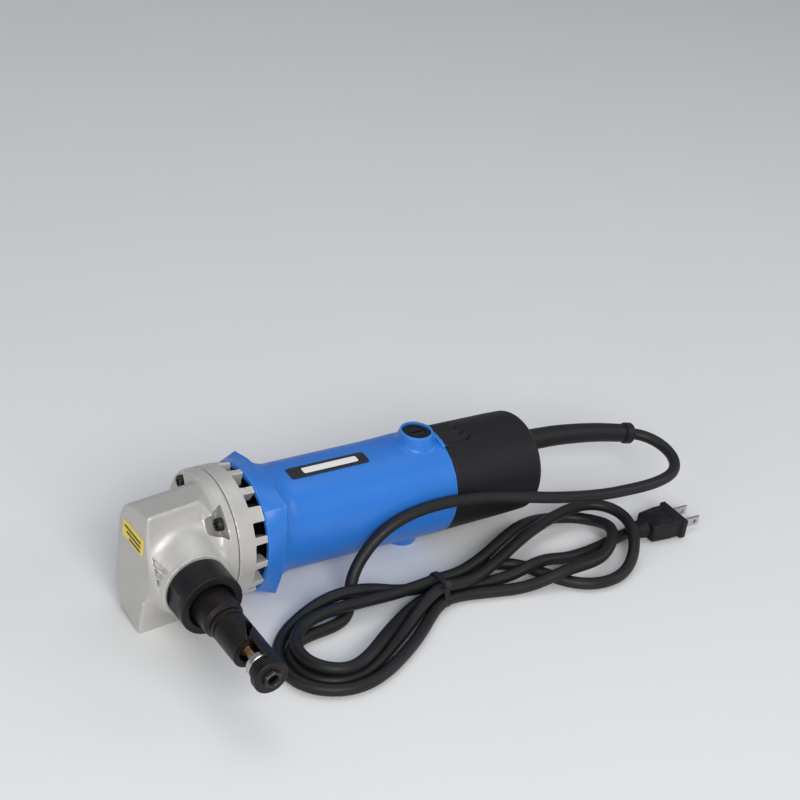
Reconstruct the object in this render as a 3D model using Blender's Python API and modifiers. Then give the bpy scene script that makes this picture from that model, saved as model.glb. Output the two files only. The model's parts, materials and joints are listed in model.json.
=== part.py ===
"""Corded sheet-metal nibbler, lying on its side.

Run with: blender --background --python part.py

The design is laid out in the tool's own axes: X runs from the nose to the rear along the
armature, the head points along -Y, and Z is up.  Their zero is where the armature's axis
crosses the front of the motor flange.  Dimensions are in millimetres and the helpers turn
them into metres.
"""
import math

import bmesh
import bpy
from mathutils import Matrix, Vector

MM = 0.001

# Driving dimensions
AXIS_HEIGHT = 40.0
RING_RADIUS = 40.0
NOSE_X = -72.5
PARTING_X = -19.0
RING_END_X = -0.3
COVER_X = 137.0
COVER_END_X = 205.0
GUARD_END = Vector((298.0, -6.0, 2.0))
HEAD_X = -48.5
HEAD_END_Y = -131.8
CRANK_Y = -15.5
GAP = 0.3

# Gear housing
BOX_MID_Y = -10.0
SCREW_CIRCLE = 33.5
SCREW_SEAT_X = -26.5

# Motor housing
FAN_ROOM = 29.5
FLANGE_SIDE = 36.0
FLANGE_END_X = 13.5
BARREL_SIDE = 31.8
BARREL_POWER = 2.2
BORE = 28.9
BULKHEAD_X = 129.0
BRUSH_X = 122.0
BOSS_RADIUS = 10.3

# Crank and ram
THROW = 2.0
ROLLER_RADIUS = 5.0
RAM_RADIUS = 6.2
RAM_BORE = 6.5
GEAR_RADIUS = 12.2
PINION_RADIUS = CRANK_Y * -1.0 - GEAR_RADIUS - GAP

# Head
COLLAR_RADIUS = 14.0
NECK_RADIUS = 12.2
NUT_RADIUS = 19.0
NUT_NEAR_Y = -43.6
NUT_FAR_Y = -62.4
FLAT_X = 17.5
HOLDER_RADIUS = 10.2
HOLDER_END = 129.4
THROAT_TOP_Y = -105.6
THROAT_END_Y = -124.5

# Cord
CORD_RADIUS = 3.75
HANK_HEIGHT = 18.0
TIE_X = 106.0
TIE_Y = -64.5
PLUG_Y = -61.0
GUARD_Y = 4.0
GUARD_Z = 9.0
CORD_ROUTE = (
    (299.9, -6.4, 1.75), (307.8, -12.3, 1.0), (313.0, -20.6, -0.8), (314.3, -30.3, -2.4), (311.4, -39.6, -3.8),
    (304.8, -46.8, -4.8), (295.7, -50.6, -5.2), (282.0, -53.0, -5.0), (270.0, -54.4, -4.0), (237.0, -55.5, -1.0),
    (202.0, -52.0, 3.0), (166.0, -43.0, 7.0), (142.0, -38.8, 9.0), (118.0, -37.2, 9.5), (96.0, -36.8, 6.5),
    (79.0, -37.5, -1.0), (69.0, -38.5, -10.5), (61.0, -40.5, -20.0), (56.7, -43.4, -26.5),
)
HANK_OUTLINE = (
    (-18.5, -88.0), (-5.0, -61.0), (24.0, -49.3), (52.0, -48.7), (80.0, -51.6), (106.0, -52.9), (140.0, -49.0),
    (172.0, -36.0), (208.0, -23.0), (232.0, -22.0), (251.0, -31.0), (260.3, -48.0), (259.5, -66.0), (247.5, -88.0),
    (220.0, -100.0), (190.0, -92.0), (150.0, -81.5), (106.0, -76.3), (80.0, -95.0), (48.0, -114.5), (16.0, -123.0),
    (-8.0, -114.0),
)

NOSE_LABEL = 0.7
GUARD_RIM = 1.7
ORIGIN_X = -0.5 * (NOSE_X - NOSE_LABEL + GUARD_END.x + GUARD_RIM)
ORIGIN_Y = -0.5 * (RING_RADIUS + HEAD_END_Y)

ROUND_STEPS = 36
INNER_STEPS = 16
HEAD_STEPS = 24

AXES = {
    "X": Matrix.Rotation(math.pi / 2.0, 3, "Y"),
    "-Y": Matrix.Rotation(math.pi / 2.0, 3, "X"),
    "Z": Matrix.Identity(3),
}

COLOURS = {
    "die_cast": ((0.50, 0.49, 0.46, 1.0), 0.42, 0.35),
    "blue_plastic": ((0.05, 0.25, 0.68, 1.0), 0.38, 0.0),
    "black_plastic": ((0.022, 0.022, 0.025, 1.0), 0.55, 0.0),
    "black_oxide": ((0.02, 0.02, 0.022, 1.0), 0.38, 0.8),
    "steel": ((0.55, 0.55, 0.56, 1.0), 0.3, 1.0),
    "brass": ((0.55, 0.38, 0.17, 1.0), 0.35, 1.0),
    "copper": ((0.55, 0.25, 0.12, 1.0), 0.4, 1.0),
    "rubber": ((0.02, 0.02, 0.021, 1.0), 0.7, 0.0),
    "yellow_label": ((0.80, 0.62, 0.03, 1.0), 0.4, 0.0),
    "dark_label": ((0.015, 0.015, 0.02, 1.0), 0.35, 0.0),
    "carbon": ((0.03, 0.03, 0.03, 1.0), 0.8, 0.0),
}


# ---------------------------------------------------------------- scene helpers

def clear_scene():
    for item in list(bpy.data.objects):
        bpy.data.objects.remove(item, do_unlink=True)
    for group in list(bpy.data.collections):
        bpy.data.collections.remove(group)


def new_collection(name):
    group = bpy.data.collections.new(name)
    bpy.context.scene.collection.children.link(group)
    return group


def material(name):
    found = bpy.data.materials.get(name)
    if found:
        return found
    colour, roughness, metallic = COLOURS[name]
    made = bpy.data.materials.new(name)
    made.use_nodes = True
    shader = made.node_tree.nodes["Principled BSDF"]
    shader.inputs["Base Color"].default_value = colour
    shader.inputs["Roughness"].default_value = roughness
    shader.inputs["Metallic"].default_value = metallic
    made.diffuse_color = colour
    return made


def own_material(node_name, kind):
    """One material for each sub-part, made from its kind's values."""
    made = material(kind).copy()
    made.name = node_name + "_" + kind
    return made


def put_in(obj, group):
    for old in list(obj.users_collection):
        old.objects.unlink(obj)
    group.objects.link(obj)


def place(obj, at):
    """Set the object's origin at a point of the tool's axes, in millimetres."""
    obj.parent = TOOL
    obj.location = Vector(at) * MM
    return obj


def as_part(obj, kind, smooth=True):
    put_in(obj, PARTS)
    obj.data.materials.clear()
    obj.data.materials.append(own_material(obj.name, kind))
    if smooth and obj.type == "MESH":
        obj.data.shade_smooth()
        obj.data.set_sharp_from_angle(angle=math.radians(35.0))
    return obj


def as_cutter(obj):
    put_in(obj, CUTTERS)
    obj.hide_render = True
    obj.display_type = "WIRE"
    return obj


def boolean(target, tool, operation="DIFFERENCE"):
    modifier = target.modifiers.new(operation.title(), "BOOLEAN")
    modifier.operation = operation
    modifier.solver = "EXACT"
    modifier.object = as_cutter(tool)
    return target


def mesh_object(name, mesh, at):
    obj = bpy.data.objects.new(name, mesh)
    PARTS.objects.link(obj)
    return place(obj, at)


# ---------------------------------------------------------------- shape helpers

def box(name, size, at, bevel=0.0, turn=None):
    """A box of the given size centred on a point, with its scale already applied."""
    mesh = bpy.data.meshes.new(name)
    shape = bmesh.new()
    bmesh.ops.create_cube(shape, size=1.0)
    bmesh.ops.scale(shape, vec=Vector(size) * MM, verts=shape.verts)
    if turn:
        bmesh.ops.rotate(shape, matrix=turn, verts=shape.verts)
    shape.to_mesh(mesh)
    shape.free()
    obj = mesh_object(name, mesh, at)
    if bevel:
        modifier = obj.modifiers.new("Edges", "BEVEL")
        modifier.width = bevel * MM
        modifier.segments = 2
        modifier.limit_method = "ANGLE"
    return obj


def rod(name, radius, start, end, centre, axis="X", steps=INNER_STEPS, radius_end=None):
    """A cylinder or cone between two stations along an axis through a point."""
    mesh = bpy.data.meshes.new(name)
    shape = bmesh.new()
    bmesh.ops.create_cone(shape, cap_ends=True, segments=steps, radius1=radius * MM,
                          radius2=(radius if radius_end is None else radius_end) * MM,
                          depth=abs(end - start) * MM)
    bmesh.ops.translate(shape, vec=Vector((0.0, 0.0, 0.5 * abs(end - start) * MM)), verts=shape.verts)
    shape.to_mesh(mesh)
    shape.free()
    direction = AXES[axis] @ Vector((0.0, 0.0, 1.0))
    obj = mesh_object(name, mesh, Vector(centre) + direction * start)
    obj.rotation_euler = AXES[axis].to_euler()
    return obj


def turned(name, profile, centre, axis="X", steps=INNER_STEPS, closed=False):
    """A profile of (station, radius) pairs turned about an axis through a point.

    The pairs run along the axis on the outer side.  A closed profile comes back along
    the bore; an open one starts and ends on the axis.
    """
    mesh = bpy.data.meshes.new(name)
    shape = bmesh.new()
    points = [shape.verts.new((radius * MM, 0.0, station * MM)) for station, radius in reversed(profile)]
    pairs = list(zip(points, points[1:]))
    if closed:
        pairs.append((points[-1], points[0]))
    for first, second in pairs:
        shape.edges.new((first, second))
    shape.to_mesh(mesh)
    shape.free()
    obj = mesh_object(name, mesh, centre)
    obj.rotation_euler = AXES[axis].to_euler()
    screw = obj.modifiers.new("Turn", "SCREW")
    screw.axis = "Z"
    screw.angle = math.tau
    screw.steps = steps
    screw.render_steps = steps
    screw.use_merge_vertices = True
    screw.merge_threshold = 0.00001
    screw.use_smooth_shade = True
    return obj


def ring(name, outer, inner, start, end, centre, axis="X", steps=INNER_STEPS):
    profile = [(start, outer), (end, outer), (end, inner), (start, inner)]
    return turned(name, profile, centre, axis, steps, closed=True)


def soft_radius(angle, sides, power):
    """Distance to the rim of a polygon with softened corners, given as (normal, distance) sides."""
    total = 0.0
    for normal, distance in sides:
        total += max(0.0, math.cos(angle - math.radians(normal)) / distance) ** power
    return total ** (-1.0 / power)


def square(side):
    return [(0.0, side), (90.0, side), (180.0, side), (270.0, side)]


def loft(name, stations, steps=ROUND_STEPS):
    """Close a solid through sections.  A station is (x, centre y, sides or radius, power)."""
    shape = bmesh.new()
    loops = []
    for x, middle, sides, power in stations:
        loop = []
        for index in range(steps):
            angle = math.tau * index / steps
            radius = sides if power is None else soft_radius(angle, sides, power)
            point = Vector((x, middle + radius * math.cos(angle), radius * math.sin(angle)))
            loop.append(shape.verts.new(point * MM))
        loops.append(loop)
    for first, second in zip(loops, loops[1:]):
        for index in range(steps):
            after = (index + 1) % steps
            shape.faces.new((first[index], first[after], second[after], second[index]))
    shape.faces.new(list(reversed(loops[0])))
    shape.faces.new(loops[-1])
    bmesh.ops.recalc_face_normals(shape, faces=shape.faces)
    mesh = bpy.data.meshes.new(name)
    shape.to_mesh(mesh)
    shape.free()
    return mesh_object(name, mesh, (0.0, 0.0, 0.0))


def to_mesh_object(curve_obj):
    """Replace a curve object with a welded mesh of the same name."""
    name = curve_obj.name
    bpy.context.view_layer.update()
    evaluated = curve_obj.evaluated_get(bpy.context.evaluated_depsgraph_get())
    mesh = bpy.data.meshes.new_from_object(evaluated)
    shape = bmesh.new()
    shape.from_mesh(mesh)
    bmesh.ops.remove_doubles(shape, verts=shape.verts, dist=0.00001)
    shape.to_mesh(mesh)
    shape.free()
    parent, location = curve_obj.parent, curve_obj.location.copy()
    bpy.data.objects.remove(curve_obj, do_unlink=True)
    obj = bpy.data.objects.new(name, mesh)
    PARTS.objects.link(obj)
    obj.parent = parent
    obj.location = location
    return obj


def smooth_points(route, spacing):
    """Points every so often along a smooth curve through the route's own points."""
    ends = [route[0] * 2.0 - route[1]] + route + [route[-1] * 2.0 - route[-2]]
    dense = []
    for index in range(1, len(ends) - 2):
        before, start, end, after = ends[index - 1:index + 3]
        for step in range(24):
            t = step / 24.0
            dense.append(0.5 * ((2.0 * start) + (end - before) * t
                                + (2.0 * before - 5.0 * start + 4.0 * end - after) * t * t
                                + (3.0 * start - before - 3.0 * end + after) * t * t * t))
    dense.append(route[-1])
    kept = [dense[0]]
    travelled = 0.0
    for first, second in zip(dense, dense[1:]):
        travelled += (second - first).length
        if travelled >= spacing:
            kept.append(second)
            travelled = 0.0
    if (kept[-1] - route[-1]).length < 0.4 * spacing:
        kept.pop()
    kept.append(route[-1])
    return kept


def tube(name, points, radius, resolution=2, radii=None):
    """A poly-line tube with filled caps, as a curve object."""
    curve = bpy.data.curves.new(name, "CURVE")
    curve.dimensions = "3D"
    curve.bevel_depth = radius * MM
    curve.bevel_resolution = resolution
    curve.use_fill_caps = True
    spline = curve.splines.new("POLY")
    spline.points.add(len(points) - 1)
    for index, point in enumerate(points):
        spline.points[index].co = (point.x * MM, point.y * MM, point.z * MM, 1.0)
        spline.points[index].radius = 1.0 if radii is None else radii[index] / radius
    obj = bpy.data.objects.new(name, curve)
    PARTS.objects.link(obj)
    return place(obj, (0.0, 0.0, 0.0))


def plate_outline(name, points, thickness, at, handles="AUTO"):
    """A flat outline in X and Y through hand-placed points, extruded along Z."""
    curve = bpy.data.curves.new(name, "CURVE")
    curve.dimensions = "2D"
    curve.fill_mode = "BOTH"
    curve.extrude = 0.5 * thickness * MM
    curve.resolution_u = 4
    spline = curve.splines.new("BEZIER")
    spline.bezier_points.add(len(points) - 1)
    for knot, (x, y) in zip(spline.bezier_points, points):
        knot.co = (x * MM, y * MM, 0.0)
        knot.handle_left_type = handles
        knot.handle_right_type = handles
    spline.use_cyclic_u = True
    obj = bpy.data.objects.new(name, curve)
    PARTS.objects.link(obj)
    return place(obj, at)


def corner_points(radius):
    """The four screw places around the armature's axis."""
    reach = radius * math.sqrt(0.5)
    return [(-reach, reach), (reach, reach), (reach, -reach), (-reach, -reach)]


# ---------------------------------------------------------------- housings

def housing_sides(near, far, slope, flat):
    """The gear box's section: a wall near the head, a lower far wall and sloping top and bottom."""
    return [(180.0, near), (0.0, far), (76.0, slope), (284.0, slope), (90.0, flat), (270.0, flat)]


def gear_housing():
    stations = [
        (NOSE_X, BOX_MID_Y, housing_sides(19.0, 18.0, 30.5, 38.0), 9.0),
        (NOSE_X + 1.2, BOX_MID_Y, housing_sides(20.6, 20.0, 32.8, 40.5), 10.0),
        (NOSE_X + 4.0, BOX_MID_Y, housing_sides(21.6, 21.6, 34.6, 43.0), 11.0),
        (-58.0, BOX_MID_Y, housing_sides(22.6, 24.0, 36.6, 44.4), 11.0),
        (-46.0, BOX_MID_Y, housing_sides(23.4, 28.0, 37.8, 42.2), 9.0),
        (-38.0, -7.0, housing_sides(28.0, 34.0, 40.0, 42.0), 5.0),
        (-33.0, -1.5, 32.5, None),
        (-31.0, -1.0, 33.4, None),
        (-29.6, 0.0, 38.3, None),
        (-27.6, 0.0, 39.6, None),
        (-25.5, 0.0, RING_RADIUS, None),
        (PARTING_X - GAP, 0.0, RING_RADIUS, None),
    ]
    body = loft("gear_housing", stations)
    boss = rod("head_boss", 22.0, 26.0, -NUT_NEAR_Y - GAP, (HEAD_X, 0.0, 0.0), "-Y", steps=HEAD_STEPS,
               radius_end=20.8)
    boolean(body, boss, "UNION")
    room = box("crank_room", (16.0, 38.5, 50.0), (-52.0, -10.55, 0.0), bevel=4.0)
    boolean(body, room)
    boolean(body, box("gear_room", (18.0, 38.2, 38.0), (-36.2, -10.3, 0.0), bevel=4.0))
    boolean(body, rod("rear_room", 26.5, -28.0, PARTING_X + 1.0, (0.0, 0.0, 0.0), steps=28))
    boolean(body, rod("front_bearing_pocket", 9.5, -67.1, -58.0, (0.0, CRANK_Y, 0.0)))
    boolean(body, rod("sleeve_bore", COLLAR_RADIUS + GAP, 23.3, 45.0, (HEAD_X, 0.0, 0.0), "-Y", steps=HEAD_STEPS))
    for index, (y, z) in enumerate(corner_points(SCREW_CIRCLE)):
        boolean(body, rod(f"seat_{index}", 4.7, -43.0, SCREW_SEAT_X, (0.0, y, z), steps=14))
        boolean(body, rod(f"case_hole_{index}", 2.3, -30.0, -15.0, (0.0, y, z), steps=10))
    return as_part(body, "die_cast")


def vent_ring():
    """Bearing bracket: a solid band and web, a hub, and ribs that reach back to the motor flange."""
    profile = [(PARTING_X, RING_RADIUS), (-8.0, RING_RADIUS), (RING_END_X, RING_RADIUS - 0.6),
               (RING_END_X, FAN_ROOM), (-12.5, FAN_ROOM), (-12.5, 13.6), (-4.9, 13.6), (-4.9, 11.1),
               (-12.2, 11.1), (-12.2, 4.6), (PARTING_X, 4.6)]
    body = turned("vent_ring", profile, (0.0, 0.0, 0.0), steps=48, closed=True)
    for index in range(16):
        angle = math.tau * (index + 0.5) / 16.0
        near_corner = abs(math.sin(2.0 * angle)) > 0.9
        if near_corner:
            angle += math.radians(1.6) * (1.0 if math.sin(4.0 * angle) < 0.0 else -1.0)
        width = 8.2 if near_corner else 11.0
        turn = Matrix.Rotation(angle, 3, "X")
        middle = turn @ Vector((0.0, 36.0, 0.0))
        slot = box(f"vent_{index}", (9.0, 18.0, width), (-3.5, middle.y, middle.z), turn=turn)
        boolean(body, slot)
    boolean(body, rod("rear_crank_pocket", 8.1, -22.0, -13.7, (0.0, CRANK_Y, 0.0)))
    for index, (y, z) in enumerate(corner_points(SCREW_CIRCLE)):
        boolean(body, rod(f"ring_hole_{index}", 2.3, -25.0, 5.0, (0.0, y, z), steps=10))
    return as_part(body, "die_cast")


def motor_housing():
    stations = [
        (0.0, 0.0, 39.2, None),
        (1.0, 0.0, 39.8, None),
        (FLANGE_END_X - 1.0, 0.0, square(FLANGE_SIDE), 5.0),
        (FLANGE_END_X, 0.0, square(FLANGE_SIDE - 0.9), 5.0),
        (16.5, 0.0, square(33.6), 2.7),
        (21.0, 0.0, square(BARREL_SIDE + 0.3), 2.3),
        (25.0, 0.0, square(BARREL_SIDE), BARREL_POWER),
        (96.0, 0.0, square(BARREL_SIDE), BARREL_POWER),
        (118.0, 0.0, square(BARREL_SIDE + 0.6), BARREL_POWER),
        (COVER_X, 0.0, square(BARREL_SIDE + 1.2), BARREL_POWER),
    ]
    body = loft("motor_housing", stations)
    boss = rod("brush_bosses", BOSS_RADIUS, -AXIS_HEIGHT, AXIS_HEIGHT, (BRUSH_X, 0.0, 0.0), "Z", steps=24)
    boolean(body, boss, "UNION")
    cavity = [(-1.0, 0.0), (-1.0, FAN_ROOM), (FLANGE_END_X - 0.5, FAN_ROOM), (FLANGE_END_X - 0.5, BORE),
              (BULKHEAD_X, BORE), (BULKHEAD_X, 9.8), (BULKHEAD_X + 5.8, 9.8), (BULKHEAD_X + 5.8, 5.5),
              (COVER_X + 1.0, 5.5), (COVER_X + 1.0, 0.0)]
    boolean(body, turned("motor_cavity", cavity, (0.0, 0.0, 0.0), steps=24))
    for sign in (-1.0, 1.0):
        side = "top" if sign > 0.0 else "bottom"
        boolean(body, rod(f"cap_recess_{side}", 8.8, min(sign * 36.2, sign * 41.0), max(sign * 36.2, sign * 41.0),
                          (BRUSH_X, 0.0, 0.0), "Z", steps=20))
        boolean(body, rod(f"holder_hole_{side}", 6.4, min(sign * 20.0, sign * 37.0),
                          max(sign * 20.0, sign * 37.0), (BRUSH_X, 0.0, 0.0), "Z"))
        boolean(body, rod(f"tail_screw_hole_{side}", 1.9, COVER_X - 5.5, COVER_X + 1.0,
                          (0.0, 0.0, sign * 24.0), steps=8))
    for index, (y, z) in enumerate(corner_points(19.0)):
        boolean(body, rod(f"air_hole_{index}", 5.0, BULKHEAD_X - 1.0, COVER_X + 1.0, (0.0, y, z), steps=12))
    for index, (y, z) in enumerate(corner_points(SCREW_CIRCLE)):
        boolean(body, rod(f"flange_hole_{index}", 2.3, -1.0, 11.0, (0.0, y, z), steps=10))
    boolean(body, box("switch_recess", (50.0, 4.0, 14.0), (76.0, BARREL_SIDE + 0.5, 0.0)))
    boolean(body, box("switch_slot", (26.0, 10.0, 4.4), (76.0, BARREL_SIDE - 2.0, 0.0)))
    boolean(body, box("link_notch", (12.0, 4.2, 5.0), (COVER_X - 4.0, 26.6, 0.0)))
    return as_part(body, "blue_plastic")


def rear_cover():
    outer = BARREL_SIDE + 1.5
    profile = [(COVER_X + GAP, outer), (190.0, outer - 0.7), (199.5, outer - 1.4), (203.6, outer - 3.6),
               (COVER_END_X, outer - 7.2), (COVER_END_X, 0.0)]
    body = turned("rear_cover", [(COVER_X + GAP, 0.0)] + profile, (0.0, 0.0, 0.0), steps=ROUND_STEPS)
    room = [(COVER_X - 1.0, 0.0), (COVER_X - 1.0, 30.0), (196.0, 29.0), (200.5, 25.0), (200.5, 0.0)]
    boolean(body, turned("cover_room", room, (0.0, 0.0, 0.0), steps=32))
    boolean(body, rod("guard_hole", 7.6, 198.0, 207.0, (0.0, GUARD_Y, GUARD_Z), steps=24))
    for sign in (-1.0, 1.0):
        side = "top" if sign > 0.0 else "bottom"
        boolean(body, rod(f"tail_hole_{side}", 1.9, 198.0, 207.0, (0.0, 0.0, sign * 24.0), steps=10))
        boolean(body, rod(f"tail_seat_{side}", 3.6, 202.4, 207.0, (0.0, 0.0, sign * 24.0), steps=14))
    return as_part(body, "black_plastic")


def screws():
    for index, (y, z) in enumerate(corner_points(SCREW_CIRCLE)):
        profile = [(SCREW_SEAT_X - 4.6, 0.0), (SCREW_SEAT_X - 4.6, 3.7), (SCREW_SEAT_X - 4.2, 4.1),
                   (SCREW_SEAT_X - GAP, 4.1), (SCREW_SEAT_X - GAP, 2.0), (10.0, 2.0), (10.0, 0.0)]
        screw = turned(f"gear_case_screw_{index + 1}", profile, (0.0, y, z), steps=12)
        boolean(screw, rod(f"socket_{index}", 1.9, -35.0, SCREW_SEAT_X - 2.4, (0.0, y, z), steps=6))
        as_part(screw, "black_oxide")
    for index, sign in enumerate((1.0, -1.0)):
        profile = [(COVER_X - 5.0, 0.0), (COVER_X - 5.0, 1.6), (202.7, 1.6), (202.7, 3.2), (204.7, 3.2), (204.7, 0.0)]
        as_part(turned(f"cover_screw_{index + 1}", profile, (0.0, 0.0, sign * 24.0), steps=12), "black_oxide")


def labels():
    plate = box("warning_label", (0.4, 26.0, 16.0), (NOSE_X - 0.5, -12.5, 14.0))
    as_part(plate, "yellow_label", smooth=False)
    mesh = bpy.data.meshes.new("name_label")
    shape = bmesh.new()
    bmesh.ops.create_grid(shape, x_segments=1, y_segments=8, size=0.5)
    for vert in shape.verts:
        angle = math.radians(99.0 + 23.0 * vert.co.y)
        radius = soft_radius(angle, square(BARREL_SIDE), BARREL_POWER) + 0.6
        x = 52.0 + 52.0 * vert.co.x
        vert.co = Vector((x, radius * math.cos(angle), radius * math.sin(angle))) * MM
    bmesh.ops.recalc_face_normals(shape, faces=shape.faces)
    shape.to_mesh(mesh)
    shape.free()
    label = mesh_object("name_label", mesh, (0.0, 0.0, 0.0))
    skin = label.modifiers.new("Thickness", "SOLIDIFY")
    skin.thickness = 0.4 * MM
    skin.offset = 0.0
    as_part(label, "dark_label")


# ---------------------------------------------------------------- motor

def stator():
    core = ring("stator_core", 28.5, 18.8, 20.0, 76.0, (0.0, 0.0, 0.0), steps=32)
    for sign in (-1.0, 1.0):
        boolean(core, box(f"stator_flat_{sign:+.0f}", (60.0, 8.0, 60.0), (48.0, sign * 28.5, 0.0)))
    as_part(core, "steel")
    as_part(ring("field_coil_front", 24.0, 19.5, 13.5, 19.7, (0.0, 0.0, 0.0)), "copper")
    as_part(ring("field_coil_rear", 24.0, 19.5, 76.3, 84.0, (0.0, 0.0, 0.0)), "copper")


def armature():
    pivot = (0.0, 0.0, 0.0)
    profile = [(-39.5, 0.0), (-39.5, PINION_RADIUS), (-29.5, PINION_RADIUS), (-28.5, 3.9), (134.0, 3.9), (134.0, 0.0)]
    as_part(turned("armature_shaft", profile, pivot, steps=16), "steel")
    core = [(12.0, 13.5), (19.0, 14.5), (20.5, 17.9), (75.5, 17.9), (77.0, 14.5), (92.0, 13.0), (92.0, 4.2), (12.0, 4.2)]
    as_part(turned("armature_core", core, pivot, closed=True, steps=24), "copper")
    as_part(ring("commutator", 12.0, 4.2, 105.0, 128.0, pivot, steps=24), "copper")
    fan = ring("fan", 28.3, 4.2, 6.2, 8.4, pivot, steps=24)
    boolean(fan, ring("fan_hub", 7.0, 4.2, -4.4, 8.0, pivot), "UNION")
    for index in range(9):
        angle = math.tau * index / 9.0
        turn = Matrix.Rotation(angle, 3, "X")
        middle = turn @ Vector((0.0, 21.5, 0.0))
        boolean(fan, box(f"blade_{index}", (11.6, 12.6, 1.4), (0.7, middle.y, middle.z), turn=turn), "UNION")
    as_part(fan, "black_plastic", smooth=False)


def bearings():
    places = (
        ("armature_bearing_front", 10.8, 4.2, -12.0, -5.2, 0.0),
        ("armature_bearing_rear", 9.5, 4.2, 129.3, 134.4, 0.0),
        ("crank_bearing_front", 9.2, 4.3, -66.8, -60.8, CRANK_Y),
        ("crank_bearing_rear", 7.8, 3.8, -18.7, -14.0, CRANK_Y),
    )
    for name, outer, inner, start, end, y in places:
        as_part(ring(name, outer, inner, start, end, (0.0, y, 0.0)), "steel")


def brush_gear():
    for side, sign in (("top", 1.0), ("bottom", -1.0)):
        holder = ring(f"brush_holder_{side}", 6.1, 4.5, 13.5, 35.8, (BRUSH_X, 0.0, 0.0), "Z")
        holder.rotation_euler = (0.0 if sign > 0.0 else math.pi, 0.0, 0.0)
        as_part(holder, "brass")
        as_part(box(f"carbon_brush_{side}", (6.5, 5.0, 13.0), (BRUSH_X, 0.0, sign * 18.9)), "carbon", smooth=False)
        profile = [(26.0, 0.0), (26.0, 4.1), (36.5, 4.1), (36.5, 8.5), (38.6, 8.5), (39.1, 8.0), (39.1, 0.0)]
        cap = turned(f"brush_cap_{side}", profile, (BRUSH_X, 0.0, 0.0), "Z", steps=20)
        cap.rotation_euler = (0.0 if sign > 0.0 else math.pi, 0.0, 0.0)
        boolean(cap, box(f"cap_slot_{side}", (9.0, 1.6, 3.0), (BRUSH_X, 0.0, sign * 39.5)))
        as_part(cap, "black_plastic")


# ---------------------------------------------------------------- crank and ram

def crank():
    profile = [(-67.0, 0.0), (-67.0, 4.0), (-58.0, 4.0), (-58.0, 6.4), (-56.3, 6.4), (-56.3, 0.0)]
    shaft = turned("crank_shaft", profile, (0.0, CRANK_Y, 0.0))
    rear = [(-42.8, 0.0), (-42.8, 6.4), (-41.0, 6.4), (-41.0, 5.0), (-28.0, 5.0), (-28.0, 3.5), (-14.2, 3.5), (-14.2, 0.0)]
    boolean(shaft, turned("crank_rear", rear, (0.0, CRANK_Y, 0.0)), "UNION")
    boolean(shaft, rod("crank_pin", 3.6, -57.0, -42.0, (0.0, CRANK_Y, THROW)), "UNION")
    as_part(shaft, "steel")
    as_part(ring("crank_gear", GEAR_RADIUS, 5.3, -39.5, -29.5, (0.0, CRANK_Y, 0.0), steps=24), "steel")
    roller = ring("eccentric_roller", ROLLER_RADIUS, 3.9, -55.4, -43.6, (0.0, CRANK_Y, THROW), steps=16)
    as_part(roller, "steel")


def ram():
    reach = ROLLER_RADIUS + 2.0 * THROW + 0.4
    body = box("ram", (11.0, 2.0 * reach + 5.0, 21.0), (HEAD_X - 1.0, CRANK_Y, 0.0), bevel=1.0)
    boolean(body, box("yoke_slot", (20.0, 2.0 * reach, 2.0 * (ROLLER_RADIUS + THROW + 0.6)),
                      (HEAD_X - 1.0, CRANK_Y, 0.0)))
    boolean(body, rod("ram_rod", RAM_RADIUS, reach - CRANK_Y + 1.5, 88.0, (HEAD_X, 0.0, 0.0), "-Y"),
            "UNION")
    as_part(body, "steel")


def punch():
    profile = [(88.5, 0.0), (88.5, 5.0), (102.6, 5.0), (103.6, 4.2), (103.6, 0.0)]
    body = turned("punch", profile, (HEAD_X, 0.0, 0.0), "-Y", steps=16)
    as_part(body, "black_oxide")
    tip = [(103.9, 0.0), (103.9, 3.6), (105.6, 2.9), (115.6, 2.9), (115.6, 0.0)]
    as_part(turned("punch_tip", tip, (HEAD_X, 0.0, 0.0), "-Y", steps=16), "brass")


# ---------------------------------------------------------------- head

def ram_sleeve():
    profile = [(30.2, COLLAR_RADIUS), (52.9, COLLAR_RADIUS), (52.9, RAM_BORE), (30.2, RAM_BORE)]
    as_part(turned("ram_sleeve", profile, (HEAD_X, 0.0, 0.0), "-Y", closed=True, steps=24), "steel")


def lock_nut():
    profile = [(-NUT_NEAR_Y, NUT_RADIUS), (-NUT_FAR_Y - 1.3, NUT_RADIUS), (-NUT_FAR_Y, NUT_RADIUS - 1.3),
               (-NUT_FAR_Y, 14.5), (60.7, 12.7), (58.3, 12.7), (58.3, COLLAR_RADIUS + GAP),
               (-NUT_NEAR_Y, COLLAR_RADIUS + GAP)]
    nut = turned("lock_nut", profile, (HEAD_X, 0.0, 0.0), "-Y", closed=True, steps=HEAD_STEPS)
    for sign in (-1.0, 1.0):
        boolean(nut, box(f"nut_flat_{sign:+.0f}", (4.0, 13.0, 40.0), (HEAD_X + sign * (FLAT_X + 2.0), -51.0, 0.0)))
    as_part(nut, "black_oxide")


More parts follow.
